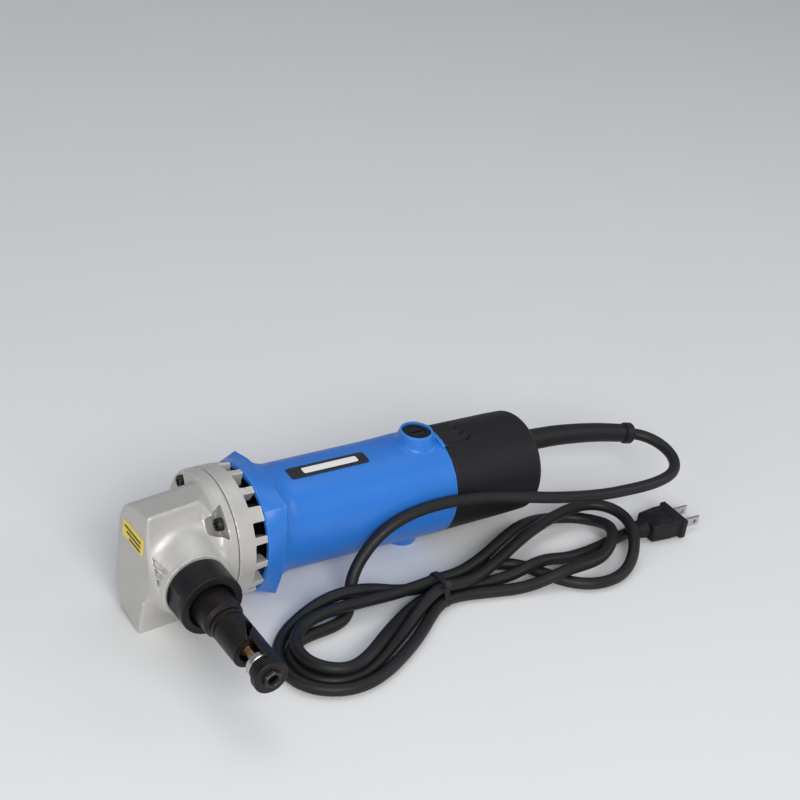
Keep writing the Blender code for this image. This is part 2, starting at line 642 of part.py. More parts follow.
def die_holder():
    profile = [(53.2, COLLAR_RADIUS), (57.8, COLLAR_RADIUS), (57.8, NECK_RADIUS), (76.0, NECK_RADIUS), (78.2, HOLDER_RADIUS),
               (78.6, HOLDER_RADIUS), (78.8, HOLDER_RADIUS - 0.8), (79.6, HOLDER_RADIUS - 0.8), (79.8, HOLDER_RADIUS),
               (HOLDER_END - 0.8, HOLDER_RADIUS), (HOLDER_END, HOLDER_RADIUS - 0.8), (HOLDER_END, 3.3), (107.0, 3.3),
               (107.0, RAM_BORE), (53.2, RAM_BORE)]
    body = turned("die_holder", profile, (HEAD_X, 0.0, 0.0), "-Y", closed=True, steps=HEAD_STEPS)
    throat_length = THROAT_TOP_Y - THROAT_END_Y
    throat = box("throat", (15.0, throat_length, 30.0), (HEAD_X - 7.5, 0.5 * (THROAT_TOP_Y + THROAT_END_Y), 0.0))
    boolean(body, throat)
    slot = box("side_slot", (3.5, 15.0, 12.0), (HEAD_X + 2.5, -99.0, 9.5), turn=Matrix.Rotation(math.radians(-24.0), 3, "Z"))
    boolean(body, slot)
    boolean(body, rod("die_seat", 8.6, -THROAT_TOP_Y, -THROAT_END_Y, (HEAD_X, 0.0, 0.0), "-Y", steps=24))
    as_part(body, "black_oxide")


def die_stack():
    die = [(114.0, 7.2), (114.8, 8.1), (119.2, 8.1), (119.2, 3.25), (114.0, 3.25)]
    as_part(turned("die", die, (HEAD_X, 0.0, 0.0), "-Y", closed=True, steps=24), "steel")
    as_part(ring("die_ring", 8.3, 3.3, 119.5, 124.2, (HEAD_X, 0.0, 0.0), "-Y", steps=24), "black_oxide")
    profile = [(129.7, 5.2), (131.3, 5.2), (-HEAD_END_Y, 4.7), (-HEAD_END_Y, 3.3), (129.7, 3.3)]
    as_part(turned("die_nut", profile, (HEAD_X, 0.0, 0.0), "-Y", closed=True, steps=6), "black_oxide")


# ---------------------------------------------------------------- switch

def switch():
    grip = box("switch_button", (30.0, 4.0, 11.0), (78.0, BARREL_SIDE + 1.0, 0.0), bevel=1.0)
    boolean(grip, box("switch_stem", (8.0, 5.4, 3.4), (78.0, BARREL_SIDE - 1.35, 0.0)), "UNION")
    as_part(grip, "black_plastic")
    as_part(box("switch_link", (76.0, 1.8, 3.4), (112.0, 26.5, 0.0)), "steel", smooth=False)
    as_part(box("switch_body", (30.0, 14.0, 16.0), (167.0, 19.0, 0.0), bevel=1.0), "black_plastic")


# ---------------------------------------------------------------- cord

def cord_guard():
    route = [Vector((190.0, GUARD_Y, GUARD_Z)), Vector((212.0, GUARD_Y - 0.4, GUARD_Z)), Vector((240.0, 2.6, 8.2)),
             Vector((270.0, -0.6, 5.6)), GUARD_END]
    points = smooth_points(route, 9.0)
    inner = [Vector((x, GUARD_Y, GUARD_Z)) for x in (190.0, 198.0, 198.2, 200.2, 200.4)]
    outer = [point for point in points if point.x > 203.0]
    outer.insert(-1, outer[-1].lerp(outer[-2], 5.0 / (outer[-1] - outer[-2]).length))
    outer.insert(-1, outer[-1].lerp(outer[-3], 4.6 / (outer[-1] - outer[-3]).length))
    path = inner + outer
    radii = [4.4, 4.4, 8.8, 8.8, 7.2]
    for point in outer:
        share = (point.x - 203.0) / (GUARD_END.x - 203.0)
        radii.append(7.2 - 1.3 * share)
    radii[-2:] = [7.0, 7.0]
    guard = to_mesh_object(tube("cord_guard", path, 7.2, 3, radii))
    as_part(guard, "rubber")


def cord_clamp():
    as_part(box("cord_clamp", (8.0, 20.0, 3.0), (193.5, GUARD_Y, GUARD_Z + 6.4), bevel=0.5), "steel", smooth=False)
    for index, sign in enumerate((-1.0, 1.0)):
        profile = [(-8.0, 0.0), (-8.0, 1.3), (4.6, 1.3), (4.6, 0.0)]
        y = GUARD_Y + sign * 7.0
        screw = turned(f"clamp_screw_{index + 1}", profile, (193.5, y, GUARD_Z), "Z", steps=8)
        as_part(screw, "steel")


def cord():
    route = [Vector(point) for point in CORD_ROUTE]
    lead = to_mesh_object(tube("cord_tube", smooth_points(route, 13.0), CORD_RADIUS))
    as_part(lead, "rubber")
    floor = -AXIS_HEIGHT
    hank = plate_outline("cord_hank", HANK_OUTLINE, HANK_HEIGHT, (0.0, 0.0, floor + 0.5 * HANK_HEIGHT))
    as_part(to_mesh_object(hank), "rubber", smooth=False)
    tie = box("cord_tie", (4.0, 33.0, HANK_HEIGHT + 3.0), (TIE_X, TIE_Y, floor + 0.5 * HANK_HEIGHT + 1.5))
    opening = box("tie_opening", (9.0, 30.0, HANK_HEIGHT + 0.6), (TIE_X, TIE_Y, floor + 0.5 * HANK_HEIGHT))
    boolean(tie, opening)
    as_part(tie, "black_plastic", smooth=False)


def plug():
    height = -AXIS_HEIGHT + CORD_RADIUS + 3.0
    body = box("plug_body", (24.0, 22.0, 13.0), (286.5, PLUG_Y, height), bevel=2.0)
    boolean(body, box("plug_flange", (4.6, 25.0, 13.4), (298.6, PLUG_Y, height), bevel=1.0), "UNION")
    neck = rod("plug_neck", 5.2, 262.3, 278.0, (0.0, PLUG_Y, height), steps=16, radius_end=6.2)
    boolean(body, neck, "UNION")
    for index, sign in enumerate((-1.0, 1.0)):
        y = PLUG_Y + sign * 6.35
        boolean(body, box(f"blade_seat_{index}", (8.0, 2.1, 6.9), (299.0, y, height)))
        blade = box(f"plug_blade_{index + 1}", (21.0, 1.5, 6.3), (306.0, y, height), bevel=0.5)
        as_part(blade, "steel", smooth=False)
    as_part(body, "black_plastic")


def build():
    gear_housing()
    vent_ring()
    motor_housing()
    rear_cover()
    screws()
    labels()
    stator()
    armature()
    bearings()
    brush_gear()
    crank()
    ram()
    punch()
    ram_sleeve()
    lock_nut()
    die_holder()
    die_stack()
    switch()
    cord_guard()
    cord_clamp()
    cord()
    plug()


clear_scene()
PARTS = new_collection("nibbler")
CUTTERS = new_collection("cutters")
TOOL = bpy.data.objects.new("tool_axes", None)
PARTS.objects.link(TOOL)
TOOL.location = Vector((ORIGIN_X, ORIGIN_Y, AXIS_HEIGHT)) * MM
build()
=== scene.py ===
"""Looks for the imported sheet-metal nibbler.

Everything below is laid out in the tool's own axes, in millimetres: X runs from the nose to
the rear along the armature, the head points along -Y and Z is up.  ORIGIN, taken from the
CAD, carries those axes to the row frame in metres.
"""
import json
import math

import bmesh
import bpy
import numpy as np
from mathutils import Matrix, Vector

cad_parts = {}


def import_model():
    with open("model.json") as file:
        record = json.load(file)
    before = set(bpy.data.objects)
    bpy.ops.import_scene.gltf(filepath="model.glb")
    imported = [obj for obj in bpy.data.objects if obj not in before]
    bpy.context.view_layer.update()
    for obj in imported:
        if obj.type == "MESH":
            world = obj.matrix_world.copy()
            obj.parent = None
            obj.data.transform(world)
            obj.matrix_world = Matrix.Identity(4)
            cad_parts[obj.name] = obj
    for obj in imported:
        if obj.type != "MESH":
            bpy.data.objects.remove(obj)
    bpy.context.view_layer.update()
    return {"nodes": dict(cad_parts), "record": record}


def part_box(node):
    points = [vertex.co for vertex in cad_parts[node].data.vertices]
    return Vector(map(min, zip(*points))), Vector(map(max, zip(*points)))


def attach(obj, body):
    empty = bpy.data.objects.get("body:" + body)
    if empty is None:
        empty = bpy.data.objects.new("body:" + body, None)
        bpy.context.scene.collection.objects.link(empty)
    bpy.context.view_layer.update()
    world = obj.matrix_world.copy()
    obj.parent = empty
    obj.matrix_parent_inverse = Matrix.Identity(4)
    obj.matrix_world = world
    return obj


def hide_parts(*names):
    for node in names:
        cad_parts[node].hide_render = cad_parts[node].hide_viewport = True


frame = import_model()

MM = 0.001
SHAFT_FRONT_X = -39.5
shaft_low, shaft_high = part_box("armature_shaft")
ORIGIN = Vector((shaft_low.x - SHAFT_FRONT_X * MM, 0.5 * (shaft_low.y + shaft_high.y),
                 0.5 * (shaft_low.z + shaft_high.z)))

# Driving dimensions, as in the CAD
AXIS_HEIGHT = 40.0
NOSE_X = -72.5
PARTING_X = -19.0
RING_END_X = -0.3
COVER_X = 137.0
COVER_END_X = 205.0
BRUSH_X = 122.0
HEAD_X = -48.5
CRANK_Y = -15.5
BORE_RADIUS = 14.3
BOSS_RADIUS = 20.8
CASE_FLANGE_X = -29.6
CASE_SHOULDER_X = -37.0
BARREL_RADIUS = 31.8
BOSS_END = 43.3
NUT_START = 43.6
NUT_END = 62.4
NUT_RADIUS = 19.0
FLAT_REACH = 17.5
SEAT_START = 105.6
SEAT_END = 124.5
HOLDER_END = 129.4
SWITCH_X = 78.0
TAIL_SCREW_Z = 24.0
PLUG_Y = -61.0
PLUG_Z = -33.25
BLADE_REACH = 6.35
SCREW_REACH = 33.5 * math.sqrt(0.5)
CORD_DIAMETER = 7.5
CORNERS = ((-1, 1), (1, 1), (1, -1), (-1, -1))


def world(point):
    return ORIGIN + Vector(point) * MM


# ---------------------------------------------------------------- materials

def noise(tree, scale, detail=4.0, roughness=0.5, stretch=None):
    """A noise texture in object coordinates; scale is in cycles a metre."""
    where = tree.nodes.new("ShaderNodeTexCoord")
    found = tree.nodes.new("ShaderNodeTexNoise")
    found.inputs["Scale"].default_value = scale
    found.inputs["Detail"].default_value = detail
    found.inputs["Roughness"].default_value = roughness
    source = where.outputs["Object"]
    if stretch:
        mapping = tree.nodes.new("ShaderNodeMapping")
        mapping.inputs["Scale"].default_value = stretch
        tree.links.new(source, mapping.inputs["Vector"])
        source = mapping.outputs["Vector"]
    tree.links.new(source, found.inputs["Vector"])
    return found.outputs["Fac"]


def ramp(tree, source, low, high, first, second):
    """Carry a value from low..high to a blend between two colours."""
    made = tree.nodes.new("ShaderNodeValToRGB")
    made.color_ramp.elements[0].position = low
    made.color_ramp.elements[1].position = high
    made.color_ramp.elements[0].color = first
    made.color_ramp.elements[1].color = second
    tree.links.new(source, made.inputs["Fac"])
    return made.outputs["Color"]


def spread(tree, source, low, high, start=0.3, end=0.7):
    """Carry a value from start..end to low..high."""
    made = tree.nodes.new("ShaderNodeMapRange")
    made.inputs["From Min"].default_value = start
    made.inputs["From Max"].default_value = end
    made.inputs["To Min"].default_value = low
    made.inputs["To Max"].default_value = high
    tree.links.new(source, made.inputs["Value"])
    return made.outputs["Result"]


def mixed(tree, factor, first, second):
    """A blend of two colours, each a value or another node's output."""
    made = tree.nodes.new("ShaderNodeMix")
    made.data_type = "RGBA"
    tree.links.new(factor, made.inputs["Factor"])
    for socket, value in (("A", first), ("B", second)):
        target = [s for s in made.inputs if s.name == socket and s.type == "RGBA"][0]
        if isinstance(value, tuple):
            target.default_value = value
        else:
            tree.links.new(value, target)
    return [s for s in made.outputs if s.type == "RGBA"][0]


def edges(tree, low, high):
    """Where the surface is sharply convex, from 0 to 1."""
    shape = tree.nodes.new("ShaderNodeNewGeometry")
    return spread(tree, shape.outputs["Pointiness"], 0.0, 1.0, low, high)


def tone(colour, factor):
    return tuple(min(1.0, c * factor) for c in colour) + (1.0,)


def finish(name, colour, rough, metallic=0.0, patch=(0.93, 1.06), patch_scale=60.0, grain_scale=2600.0,
           grain=0.15, grain_depth=0.02, painted_edge_highlight=None, coat=0.0, stretch=None, specular=0.5):
    """A material with broad colour patches, fine grain in its bump, roughness that varies, and an optional painted
    highlight on sharp edges.
    """
    made = bpy.data.materials.new(name)
    made.use_nodes = True
    tree = made.node_tree
    shader = tree.nodes["Principled BSDF"]
    broad = noise(tree, patch_scale, 3.0, 0.6, stretch)
    base = ramp(tree, broad, 0.3, 0.7, tone(colour, patch[0]), tone(colour, patch[1]))
    # Painted highlight: sharply convex edges are blended towards a lighter colour, standing in for the light that edges
    # catch.
    if painted_edge_highlight:
        highlight_colour, low, high = painted_edge_highlight
        base = mixed(tree, edges(tree, low, high), base, tone(highlight_colour, 1.0))
    tree.links.new(base, shader.inputs["Base Color"])
    fine = noise(tree, grain_scale, 3.0, 0.55, stretch)
    medium = noise(tree, patch_scale * 6.0, 4.0, 0.6, stretch)
    tree.links.new(spread(tree, medium, rough[0], rough[1]), shader.inputs["Roughness"])
    bump = tree.nodes.new("ShaderNodeBump")
    bump.inputs["Strength"].default_value = grain
    bump.inputs["Distance"].default_value = grain_depth * MM
    tree.links.new(fine, bump.inputs["Height"])
    tree.links.new(bump.outputs["Normal"], shader.inputs["Normal"])
    shader.inputs["Metallic"].default_value = metallic
    shader.inputs["Specular IOR Level"].default_value = specular
    shader.inputs["Coat Weight"].default_value = coat
    shader.inputs["Coat Roughness"].default_value = 0.25
    return made


# The last tuple given to die_cast, blue_plastic, black_plastic, black_oxide and bronzed is a painted highlight on their
# sharp edges: its lighter colour and the pointiness range.
LOOKS = {
    "die_cast": finish("die_cast_paint", (0.50, 0.485, 0.455), (0.34, 0.46), 0.25, (0.95, 1.04), 45.0,
                       1900.0, 0.35, 0.05, ((0.72, 0.71, 0.69), 0.53, 0.60)),
    "blue_plastic": finish("blue_moulding", (0.024, 0.175, 0.60), (0.32, 0.42), 0.0, (0.96, 1.04), 25.0,
                           900.0, 0.22, 0.03, ((0.06, 0.28, 0.74), 0.53, 0.62), specular=0.4),
    "black_plastic": finish("black_moulding", (0.0075, 0.0073, 0.009), (0.50, 0.62), 0.0, (0.9, 1.1), 60.0,
                            1500.0, 0.45, 0.06, ((0.022, 0.022, 0.025), 0.53, 0.60), specular=0.3),
    "black_oxide": finish("black_oxide_steel", (0.0125, 0.0118, 0.014), (0.36, 0.50), 0.45, (0.8, 1.2), 90.0,
                          1300.0, 0.35, 0.03, ((0.16, 0.155, 0.15), 0.55, 0.66)),
    "bronzed": finish("bronzed_steel", (0.016, 0.0125, 0.0115), (0.34, 0.48), 0.55, (0.7, 1.35), 140.0,
                      1100.0, 0.35, 0.03, ((0.16, 0.12, 0.09), 0.54, 0.64)),
    "steel": finish("turned_steel", (0.56, 0.55, 0.54), (0.22, 0.36), 1.0, (0.93, 1.05), 120.0,
                    1500.0, 0.3, 0.02),
    "brass": finish("brass", (0.62, 0.40, 0.19), (0.25, 0.38), 1.0, (0.85, 1.1), 150.0, 1500.0, 0.3, 0.02),
    "copper": finish("wound_copper", (0.56, 0.24, 0.11), (0.3, 0.45), 1.0, (0.8, 1.15), 400.0,
                     1200.0, 0.6, 0.1, stretch=(0.2, 1.0, 1.0)),
    "rubber": finish("cord_rubber", (0.008, 0.0078, 0.0085), (0.44, 0.56), 0.0, (0.85, 1.15), 80.0,
                     1400.0, 0.35, 0.05, specular=0.35),
    "carbon": finish("pressed_carbon", (0.02, 0.02, 0.021), (0.6, 0.75), 0.0, (0.8, 1.2), 300.0, 1600.0, 0.4, 0.05),
    "yellow_label": finish("yellow_sticker", (0.83, 0.62, 0.006), (0.28, 0.36), 0.0, (0.97, 1.03), 50.0,
                           1200.0, 0.1, 0.01, coat=0.3),
    "dark_label": finish("black_sticker", (0.008, 0.008, 0.010), (0.24, 0.32), 0.0, (0.9, 1.1), 50.0,
                         1200.0, 0.1, 0.01, coat=0.3),
    "white_ink": finish("white_ink", (0.78, 0.78, 0.77), (0.38, 0.5), 0.0, (0.97, 1.02), 80.0, 1500.0, 0.1, 0.01),
    "dark_ink": finish("dark_ink", (0.05, 0.045, 0.01), (0.38, 0.5), 0.0, (0.9, 1.1), 80.0, 1500.0, 0.1, 0.01),
}


# ---------------------------------------------------------------- making pieces

def add(name, points, faces, look, body, replaces=(), sharp=32.0):
    """A piece from points in tool millimetres, with its material, body and stood-for nodes."""
    mesh = bpy.data.meshes.new(name)
    placed = np.asarray(points, float) * MM + np.array(ORIGIN)
    mesh.from_pydata(placed.tolist(), [], [list(map(int, face)) for face in faces])
    mesh.validate()
    return add_mesh(name, mesh, look, body, replaces, sharp)


def add_mesh(name, mesh, look, body, replaces=(), sharp=32.0):
    mesh.shade_smooth()
    mesh.set_sharp_from_angle(angle=math.radians(sharp))
    obj = bpy.data.objects.new(name, mesh)
    bpy.context.scene.collection.objects.link(obj)
    mesh.materials.append(LOOKS[look])
    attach(obj, body)
    if replaces:
        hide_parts(*replaces)
    return obj


def from_bmesh(name, shape, look, body, replaces=()):
    """A piece from a bmesh whose points are in tool millimetres."""
    bmesh.ops.recalc_face_normals(shape, faces=shape.faces)
    for vert in shape.verts:
        vert.co = ORIGIN + vert.co * MM
    mesh = bpy.data.meshes.new(name)
    shape.to_mesh(mesh)
    shape.free()
    return add_mesh(name, mesh, look, body, replaces)


TURN = {
    "X": Matrix(((0, 0, 1), (0, 1, 0), (-1, 0, 0))),
    "-Y": Matrix(((1, 0, 0), (0, 0, -1), (0, 1, 0))),
}


def hexagon(across):
    """The reach of a hexagon, across flats, at an angle."""
    def reach(angle):
        return 0.5 * across / math.cos((angle + math.pi / 6.0) % (math.pi / 3.0) - math.pi / 6.0)
    return reach


def turned_shape(profile, centre, axis, steps, closed):
    """Sections along an axis through a point.  A section is (station, radius or reach at an angle)."""
    shape = bmesh.new()
    loops = []
    for station, radius in profile:
        loop = []
        for index in range(steps):
            angle = math.tau * index / steps
            reach = radius(angle) if callable(radius) else radius
            local = Vector((reach * math.cos(angle), reach * math.sin(angle), station))
            loop.append(shape.verts.new(Vector(centre) + TURN[axis] @ local))
        loops.append(loop)
    pairs = list(zip(loops, loops[1:]))
    if closed:
        pairs.append((loops[-1], loops[0]))
    for first, second in pairs:
        for index in range(steps):
            after = (index + 1) % steps
            shape.faces.new((first[index], first[after], second[after], second[index]))
    if not closed:
        shape.faces.new(list(reversed(loops[0])))
        shape.faces.new(loops[-1])
    return shape


def turned(name, profile, centre, axis, look, body, replaces, steps=96, closed=False):
    return from_bmesh(name, turned_shape(profile, centre, axis, steps, closed), look, body, replaces)


def block_shape(size, centre, turn):
    shape = bmesh.new()
    bmesh.ops.create_cube(shape, size=1.0)
    bmesh.ops.scale(shape, vec=Vector(size), verts=shape.verts)
    bmesh.ops.rotate(shape, matrix=turn, verts=shape.verts)
    bmesh.ops.translate(shape, vec=Vector(centre), verts=shape.verts)
    return shape


# ---------------------------------------------------------------- solids from distance fields

def rounded(radius, *sides):
    """Where several half-spaces meet, with edges of the given radius."""
    pushed = [side + radius for side in sides]
    outside = np.sqrt(sum(np.maximum(side, 0.0) ** 2 for side in pushed))
    inside = pushed[0]
    for side in pushed[1:]:
        inside = np.maximum(inside, side)
    return outside + np.minimum(inside, 0.0) - radius


def block(x, y, z, low, high, radius=0.0):
    return rounded(radius, low[0] - x, x - high[0], low[1] - y, y - high[1], low[2] - z, z - high[2])


def drum(along, across, start, end, radius, edge=0.0):
    """A rod between two stations, from how far a point is along its axis and from it."""
    return rounded(edge, start - along, along - end, across - radius)


def joined(first, second, blend):
    """Both solids, with a fillet about as wide as the blend where they meet."""
    share = np.clip(0.5 + 0.5 * (second - first) / blend, 0.0, 1.0)
    return second * (1.0 - share) + first * share - blend * share * (1.0 - share)


def cut(solid, tool, blend):
    """The solid less the tool, with its edges eased."""
    return -joined(-solid, tool, blend)


def from_axis(first, second, at=(0.0, 0.0)):
    return np.hypot(first - at[0], second - at[1])


def step_between(value, low, high, start, end):
    share = np.clip((value - low) / (high - low), 0.0, 1.0)
    share = share * share * (3.0 - 2.0 * share)
    return start + (end - start) * share


SLOPE_NUDGE = 0.04
CENTRE_PULL = 0.12
CELL_SLACK = 0.05
CELL_CORNERS = [(i, j, k) for i in (0, 1) for j in (0, 1) for k in (0, 1)]
CELL_EDGES = [(a, b) for a in range(8) for b in range(a + 1, 8)
              if sum(p != q for p, q in zip(CELL_CORNERS[a], CELL_CORNERS[b])) == 1]


def slope_of(field, points, nudge):
    """The field's unit slope at some points."""
    slope = np.stack([field(*(points + nudge * unit).T) - field(*(points - nudge * unit).T)
                      for unit in np.eye(3)], axis=1)
    return slope / np.maximum(np.linalg.norm(slope, axis=1), 1e-9)[:, None]


def skin(field, low, high, step):
    """The zero surface of a field as quads, with one point in each cell that it crosses.

    The point is where the surface's tangent planes in that cell meet, so that edges stay crisp.
    """
    axes = [np.arange(start, end + step, step) for start, end in zip(low, high)]
    grid = np.meshgrid(*axes, indexing="ij")
    values = field(*[part.ravel() for part in grid]).reshape(grid[0].shape)
    cells = tuple(size - 1 for size in values.shape)

    def corner(offset):
        return values[offset[0]:offset[0] + cells[0], offset[1]:offset[1] + cells[1], offset[2]:offset[2] + cells[2]]

    inside = sum((corner(offset) < 0.0).astype(np.int8) for offset in CELL_CORNERS)
    crossed = (inside > 0) & (inside < 8)
    amount = int(crossed.sum())
    index = np.full(cells, -1)
    index[crossed] = np.arange(amount)
    base = np.argwhere(crossed) * step + np.array(low)
    at_corner = [corner(offset)[crossed] for offset in CELL_CORNERS]
    owners, places = [], []
    for a, b in CELL_EDGES:
        first, second = at_corner[a], at_corner[b]
        found = np.nonzero((first < 0.0) != (second < 0.0))[0]
        share = (first[found] / (first[found] - second[found]))[:, None]
        start, end = np.array(CELL_CORNERS[a], float), np.array(CELL_CORNERS[b], float)
        owners.append(found)
        places.append(base[found] + (start + (end - start) * share) * step)
    owners, places = np.concatenate(owners), np.concatenate(places)
    normals = slope_of(field, places, SLOPE_NUDGE * step)

    def gathered(weight):
        return np.bincount(owners, weight, amount)

    count = gathered(None)
    middle = np.stack([gathered(places[:, k]) / count for k in range(3)], axis=1)
    reach = ((places - middle[owners]) * normals).sum(axis=1)
    system = np.empty((amount, 3, 3))
    for i in range(3):
        for j in range(3):
            system[:, i, j] = gathered(normals[:, i] * normals[:, j]) + (CENTRE_PULL if i == j else 0.0)
    target = np.stack([gathered(normals[:, k] * reach) for k in range(3)], axis=1)
    points = middle + np.linalg.solve(system, target[:, :, None])[:, :, 0]
    points = np.clip(points, base - CELL_SLACK * step, base + (1.0 + CELL_SLACK) * step)
    faces = []
    for axis in range(3):
        other, third = (axis + 1) % 3, (axis + 2) % 3
        span = [slice(1, size) for size in cells]
        span[axis] = slice(0, cells[axis])
        ahead = list(span)
        ahead[axis] = slice(1, cells[axis] + 1)
        here, there = values[tuple(span)], values[tuple(ahead)]
        for sign in (True, False):
            spots = np.argwhere(((here < 0.0) != (there < 0.0)) & ((here < 0.0) == sign))
            spots[:, [other, third]] += 1
            ring = []
            for back in ((1, 1), (0, 1), (0, 0), (1, 0)):
                cell = spots.copy()
                cell[:, other] -= back[0]
                cell[:, third] -= back[1]
                ring.append(index[tuple(cell.T)])
            faces.append(np.stack(ring if sign else ring[::-1], axis=1))
    faces = np.concatenate(faces)
    return points, faces[(faces >= 0).all(axis=1)]


def moulded(name, field, low, high, step, look, body, replaces=(), sharp=28.0):
    """A piece cut from a distance field over a box of tool millimetres."""
    points, faces = skin(field, low, high, step)
    return add(name, points, faces, look, body, replaces, sharp)


def screw_places(y, z):
    """How far a point is from the nearest of the four case screws."""
    return from_axis(np.abs(y), np.abs(z), (SCREW_REACH, SCREW_REACH))


# ---------------------------------------------------------------- gear case

def gear_case(x, y, z):
    run, side, height = x - NOSE_X, y + 10.0, np.abs(z)
    reach = from_axis(y, z)
    top = 0.177 * side + 0.984 * height - 37.3 - 0.045 * run
    wall = 25.2 + 0.055 * (41.0 - height) - 0.115 * run + 1.25 * np.maximum(x - CASE_SHOULDER_X, 0.0)
    near = rounded(1.6, np.where(x > CASE_SHOULDER_X, 0.66, 1.0) * (-y - wall), top)
    section = np.maximum(near, rounded(16.0, side - 19.3 - 0.10 * run, top))
    walls = rounded(2.0, -run, section, x + 25.0)
    walls = np.maximum(np.maximum(walls, z - 41.4), -z - 40.0)
    walls = np.maximum(walls, 0.85 * (reach - 40.0 + 0.62 * (x - CASE_FLANGE_X)))
    flange = drum(x, reach, CASE_FLANGE_X, PARTING_X - 0.3, AXIS_HEIGHT, 1.3)
    solid = joined(walls, flange, 2.0)
    out, around = -y, from_axis(x, z, (HEAD_X, 0.0))
    boss = rounded(0.6, 18.0 - out, out - BOSS_END, 0.4 - run,
                   0.91 * (around - BOSS_RADIUS - 0.42 * np.maximum(BOSS_END - 1.5 - out, 0.0)))
    # the wide blend would bulge past the nose and the parting face
    solid = np.maximum(np.maximum(joined(solid, boss, 8.0), -run), x - PARTING_X + 0.3)
    # a recess beside the boss with three radial ribs left standing in it
    sweep, arc = np.degrees(np.arctan2(z, HEAD_X - x)), np.radians(around)
    fan = rounded(0.4, (sweep - 37.0) * arc, (-4.0 - sweep) * arc, BOSS_RADIUS + 0.5 - around, around - 30.5,
                  -1.8 - solid, 2.4 - run)
    for middle in (29.0, 18.5, 6.5):
        fan = np.maximum(fan, 0.55 - np.abs(sweep - middle) * arc)
    solid = cut(solid, fan, 0.5)
    along = np.clip(x, CASE_SHOULDER_X, -29.0)
    for level, near_y in ((16.9, -33.0), (14.0, -34.0)):
        rib = np.sqrt((x - along) ** 2 + (y - near_y) ** 2 + (z - level) ** 2) - 0.9
        solid = joined(solid, rib, 1.0)
    # the pocket that each case screw sits in, wider on the far side
    far = y > 0.0
    centre = np.where(far, 31.0, 26.87), np.where(far, 22.0, 26.87)
    pocket = rounded(0.8, 0.869 * (from_axis(np.abs(y), np.abs(z), centre) - np.where(far, 14.0, 3.2)
                                   - 0.54 * (x + 38.0)),
                     x + 24.4, np.where(far, -39.0, -36.0) - x, 28.3 - reach)
    solid = cut(solid, pocket, 0.5)
    # rooms for the yoke, the gears and the crank bearing, then the head's bore and the screw holes
    for room in (block(x, y, z, (-60.0, -29.4, -15.0), (-44.0, 8.7, 15.0), 3.0),
                 block(x, y, z, (-45.2, -29.4, -15.0), (-27.2, 8.8, 15.0), 3.0),
                 drum(x, reach, -28.0, -18.0, 26.5),
                 drum(x, from_axis(y, z, (CRANK_Y, 0.0)), -67.1, -58.0, 9.5),
                 drum(out, around, 23.3, 45.0, BORE_RADIUS),
                 drum(x, screw_places(y, z), -30.0, -15.0, 2.3)):
        solid = np.maximum(solid, -room)
    return solid


def bearing_bracket(x, y, z):
    reach = from_axis(y, z)
    outer = AXIS_HEIGHT - step_between(x, -8.0, RING_END_X, 0.0, 0.6)
    solid = rounded(0.5, PARTING_X - x, x - RING_END_X, reach - outer)
    room = np.maximum(np.maximum(reach - 29.5, -12.5 - x), -np.maximum(reach - 13.6, x + 4.9))
    solid = np.maximum(solid, -room)
    bore = np.minimum(reach - 4.6, np.maximum(reach - 11.1, -12.2 - x))
    solid = np.maximum(solid, -bore)
    solid = np.maximum(solid, -np.maximum(from_axis(y, z, (CRANK_Y, 0.0)) - 8.1, x + 13.7))
    solid = np.maximum(solid, 2.3 - screw_places(y, z))
    for index in range(16):
        angle = math.tau * (index + 0.5) / 16.0
        near_corner = abs(math.sin(2.0 * angle)) > 0.9
        if near_corner:
            angle += math.radians(1.6) * (1.0 if math.sin(4.0 * angle) < 0.0 else -1.0)
        half = 4.1 if near_corner else 5.5
        across = np.abs(z * math.cos(angle) - y * math.sin(angle))
        along = y * math.cos(angle) + z * math.sin(angle)
        vent = rounded(0.9, across - half - 0.035 * (along - 36.0), 27.0 - along, along - 46.0,
                       -8.0 - 0.12 * (along - 36.0) - x, x - 3.0)
        solid = cut(solid, vent, 0.5)
    return solid


def vent_lip(x, y, z, start, end, radius):
    """A low raised arc beside the brush boss, where the two mouldings meet."""
    sweep = np.arctan2(np.abs(z), -y)
    return rounded(0.4, start - x, x - end, from_axis(y, z) - radius, 30.0 - from_axis(y, z),
                   33.0 * (math.radians(69.0) - sweep), 33.0 * (sweep - math.radians(111.0)))


# The barrel's section: half its side and how square it is, at stations along X
BARREL_X = (13.4, 14.4, 16.5, 21.0, 25.0, 96.0, 118.0, 137.0)
BARREL_SIDE = (34.6, 33.9, 33.0, 32.1, BARREL_RADIUS, BARREL_RADIUS, 32.4, 33.0)
BARREL_POWER = (3.4, 3.1, 2.7, 2.35, 2.2, 2.2, 2.2, 2.1)


def soft_square(y, z, side, power):
    return (np.abs(y / side) ** power + np.abs(z / side) ** power) ** (1.0 / power)


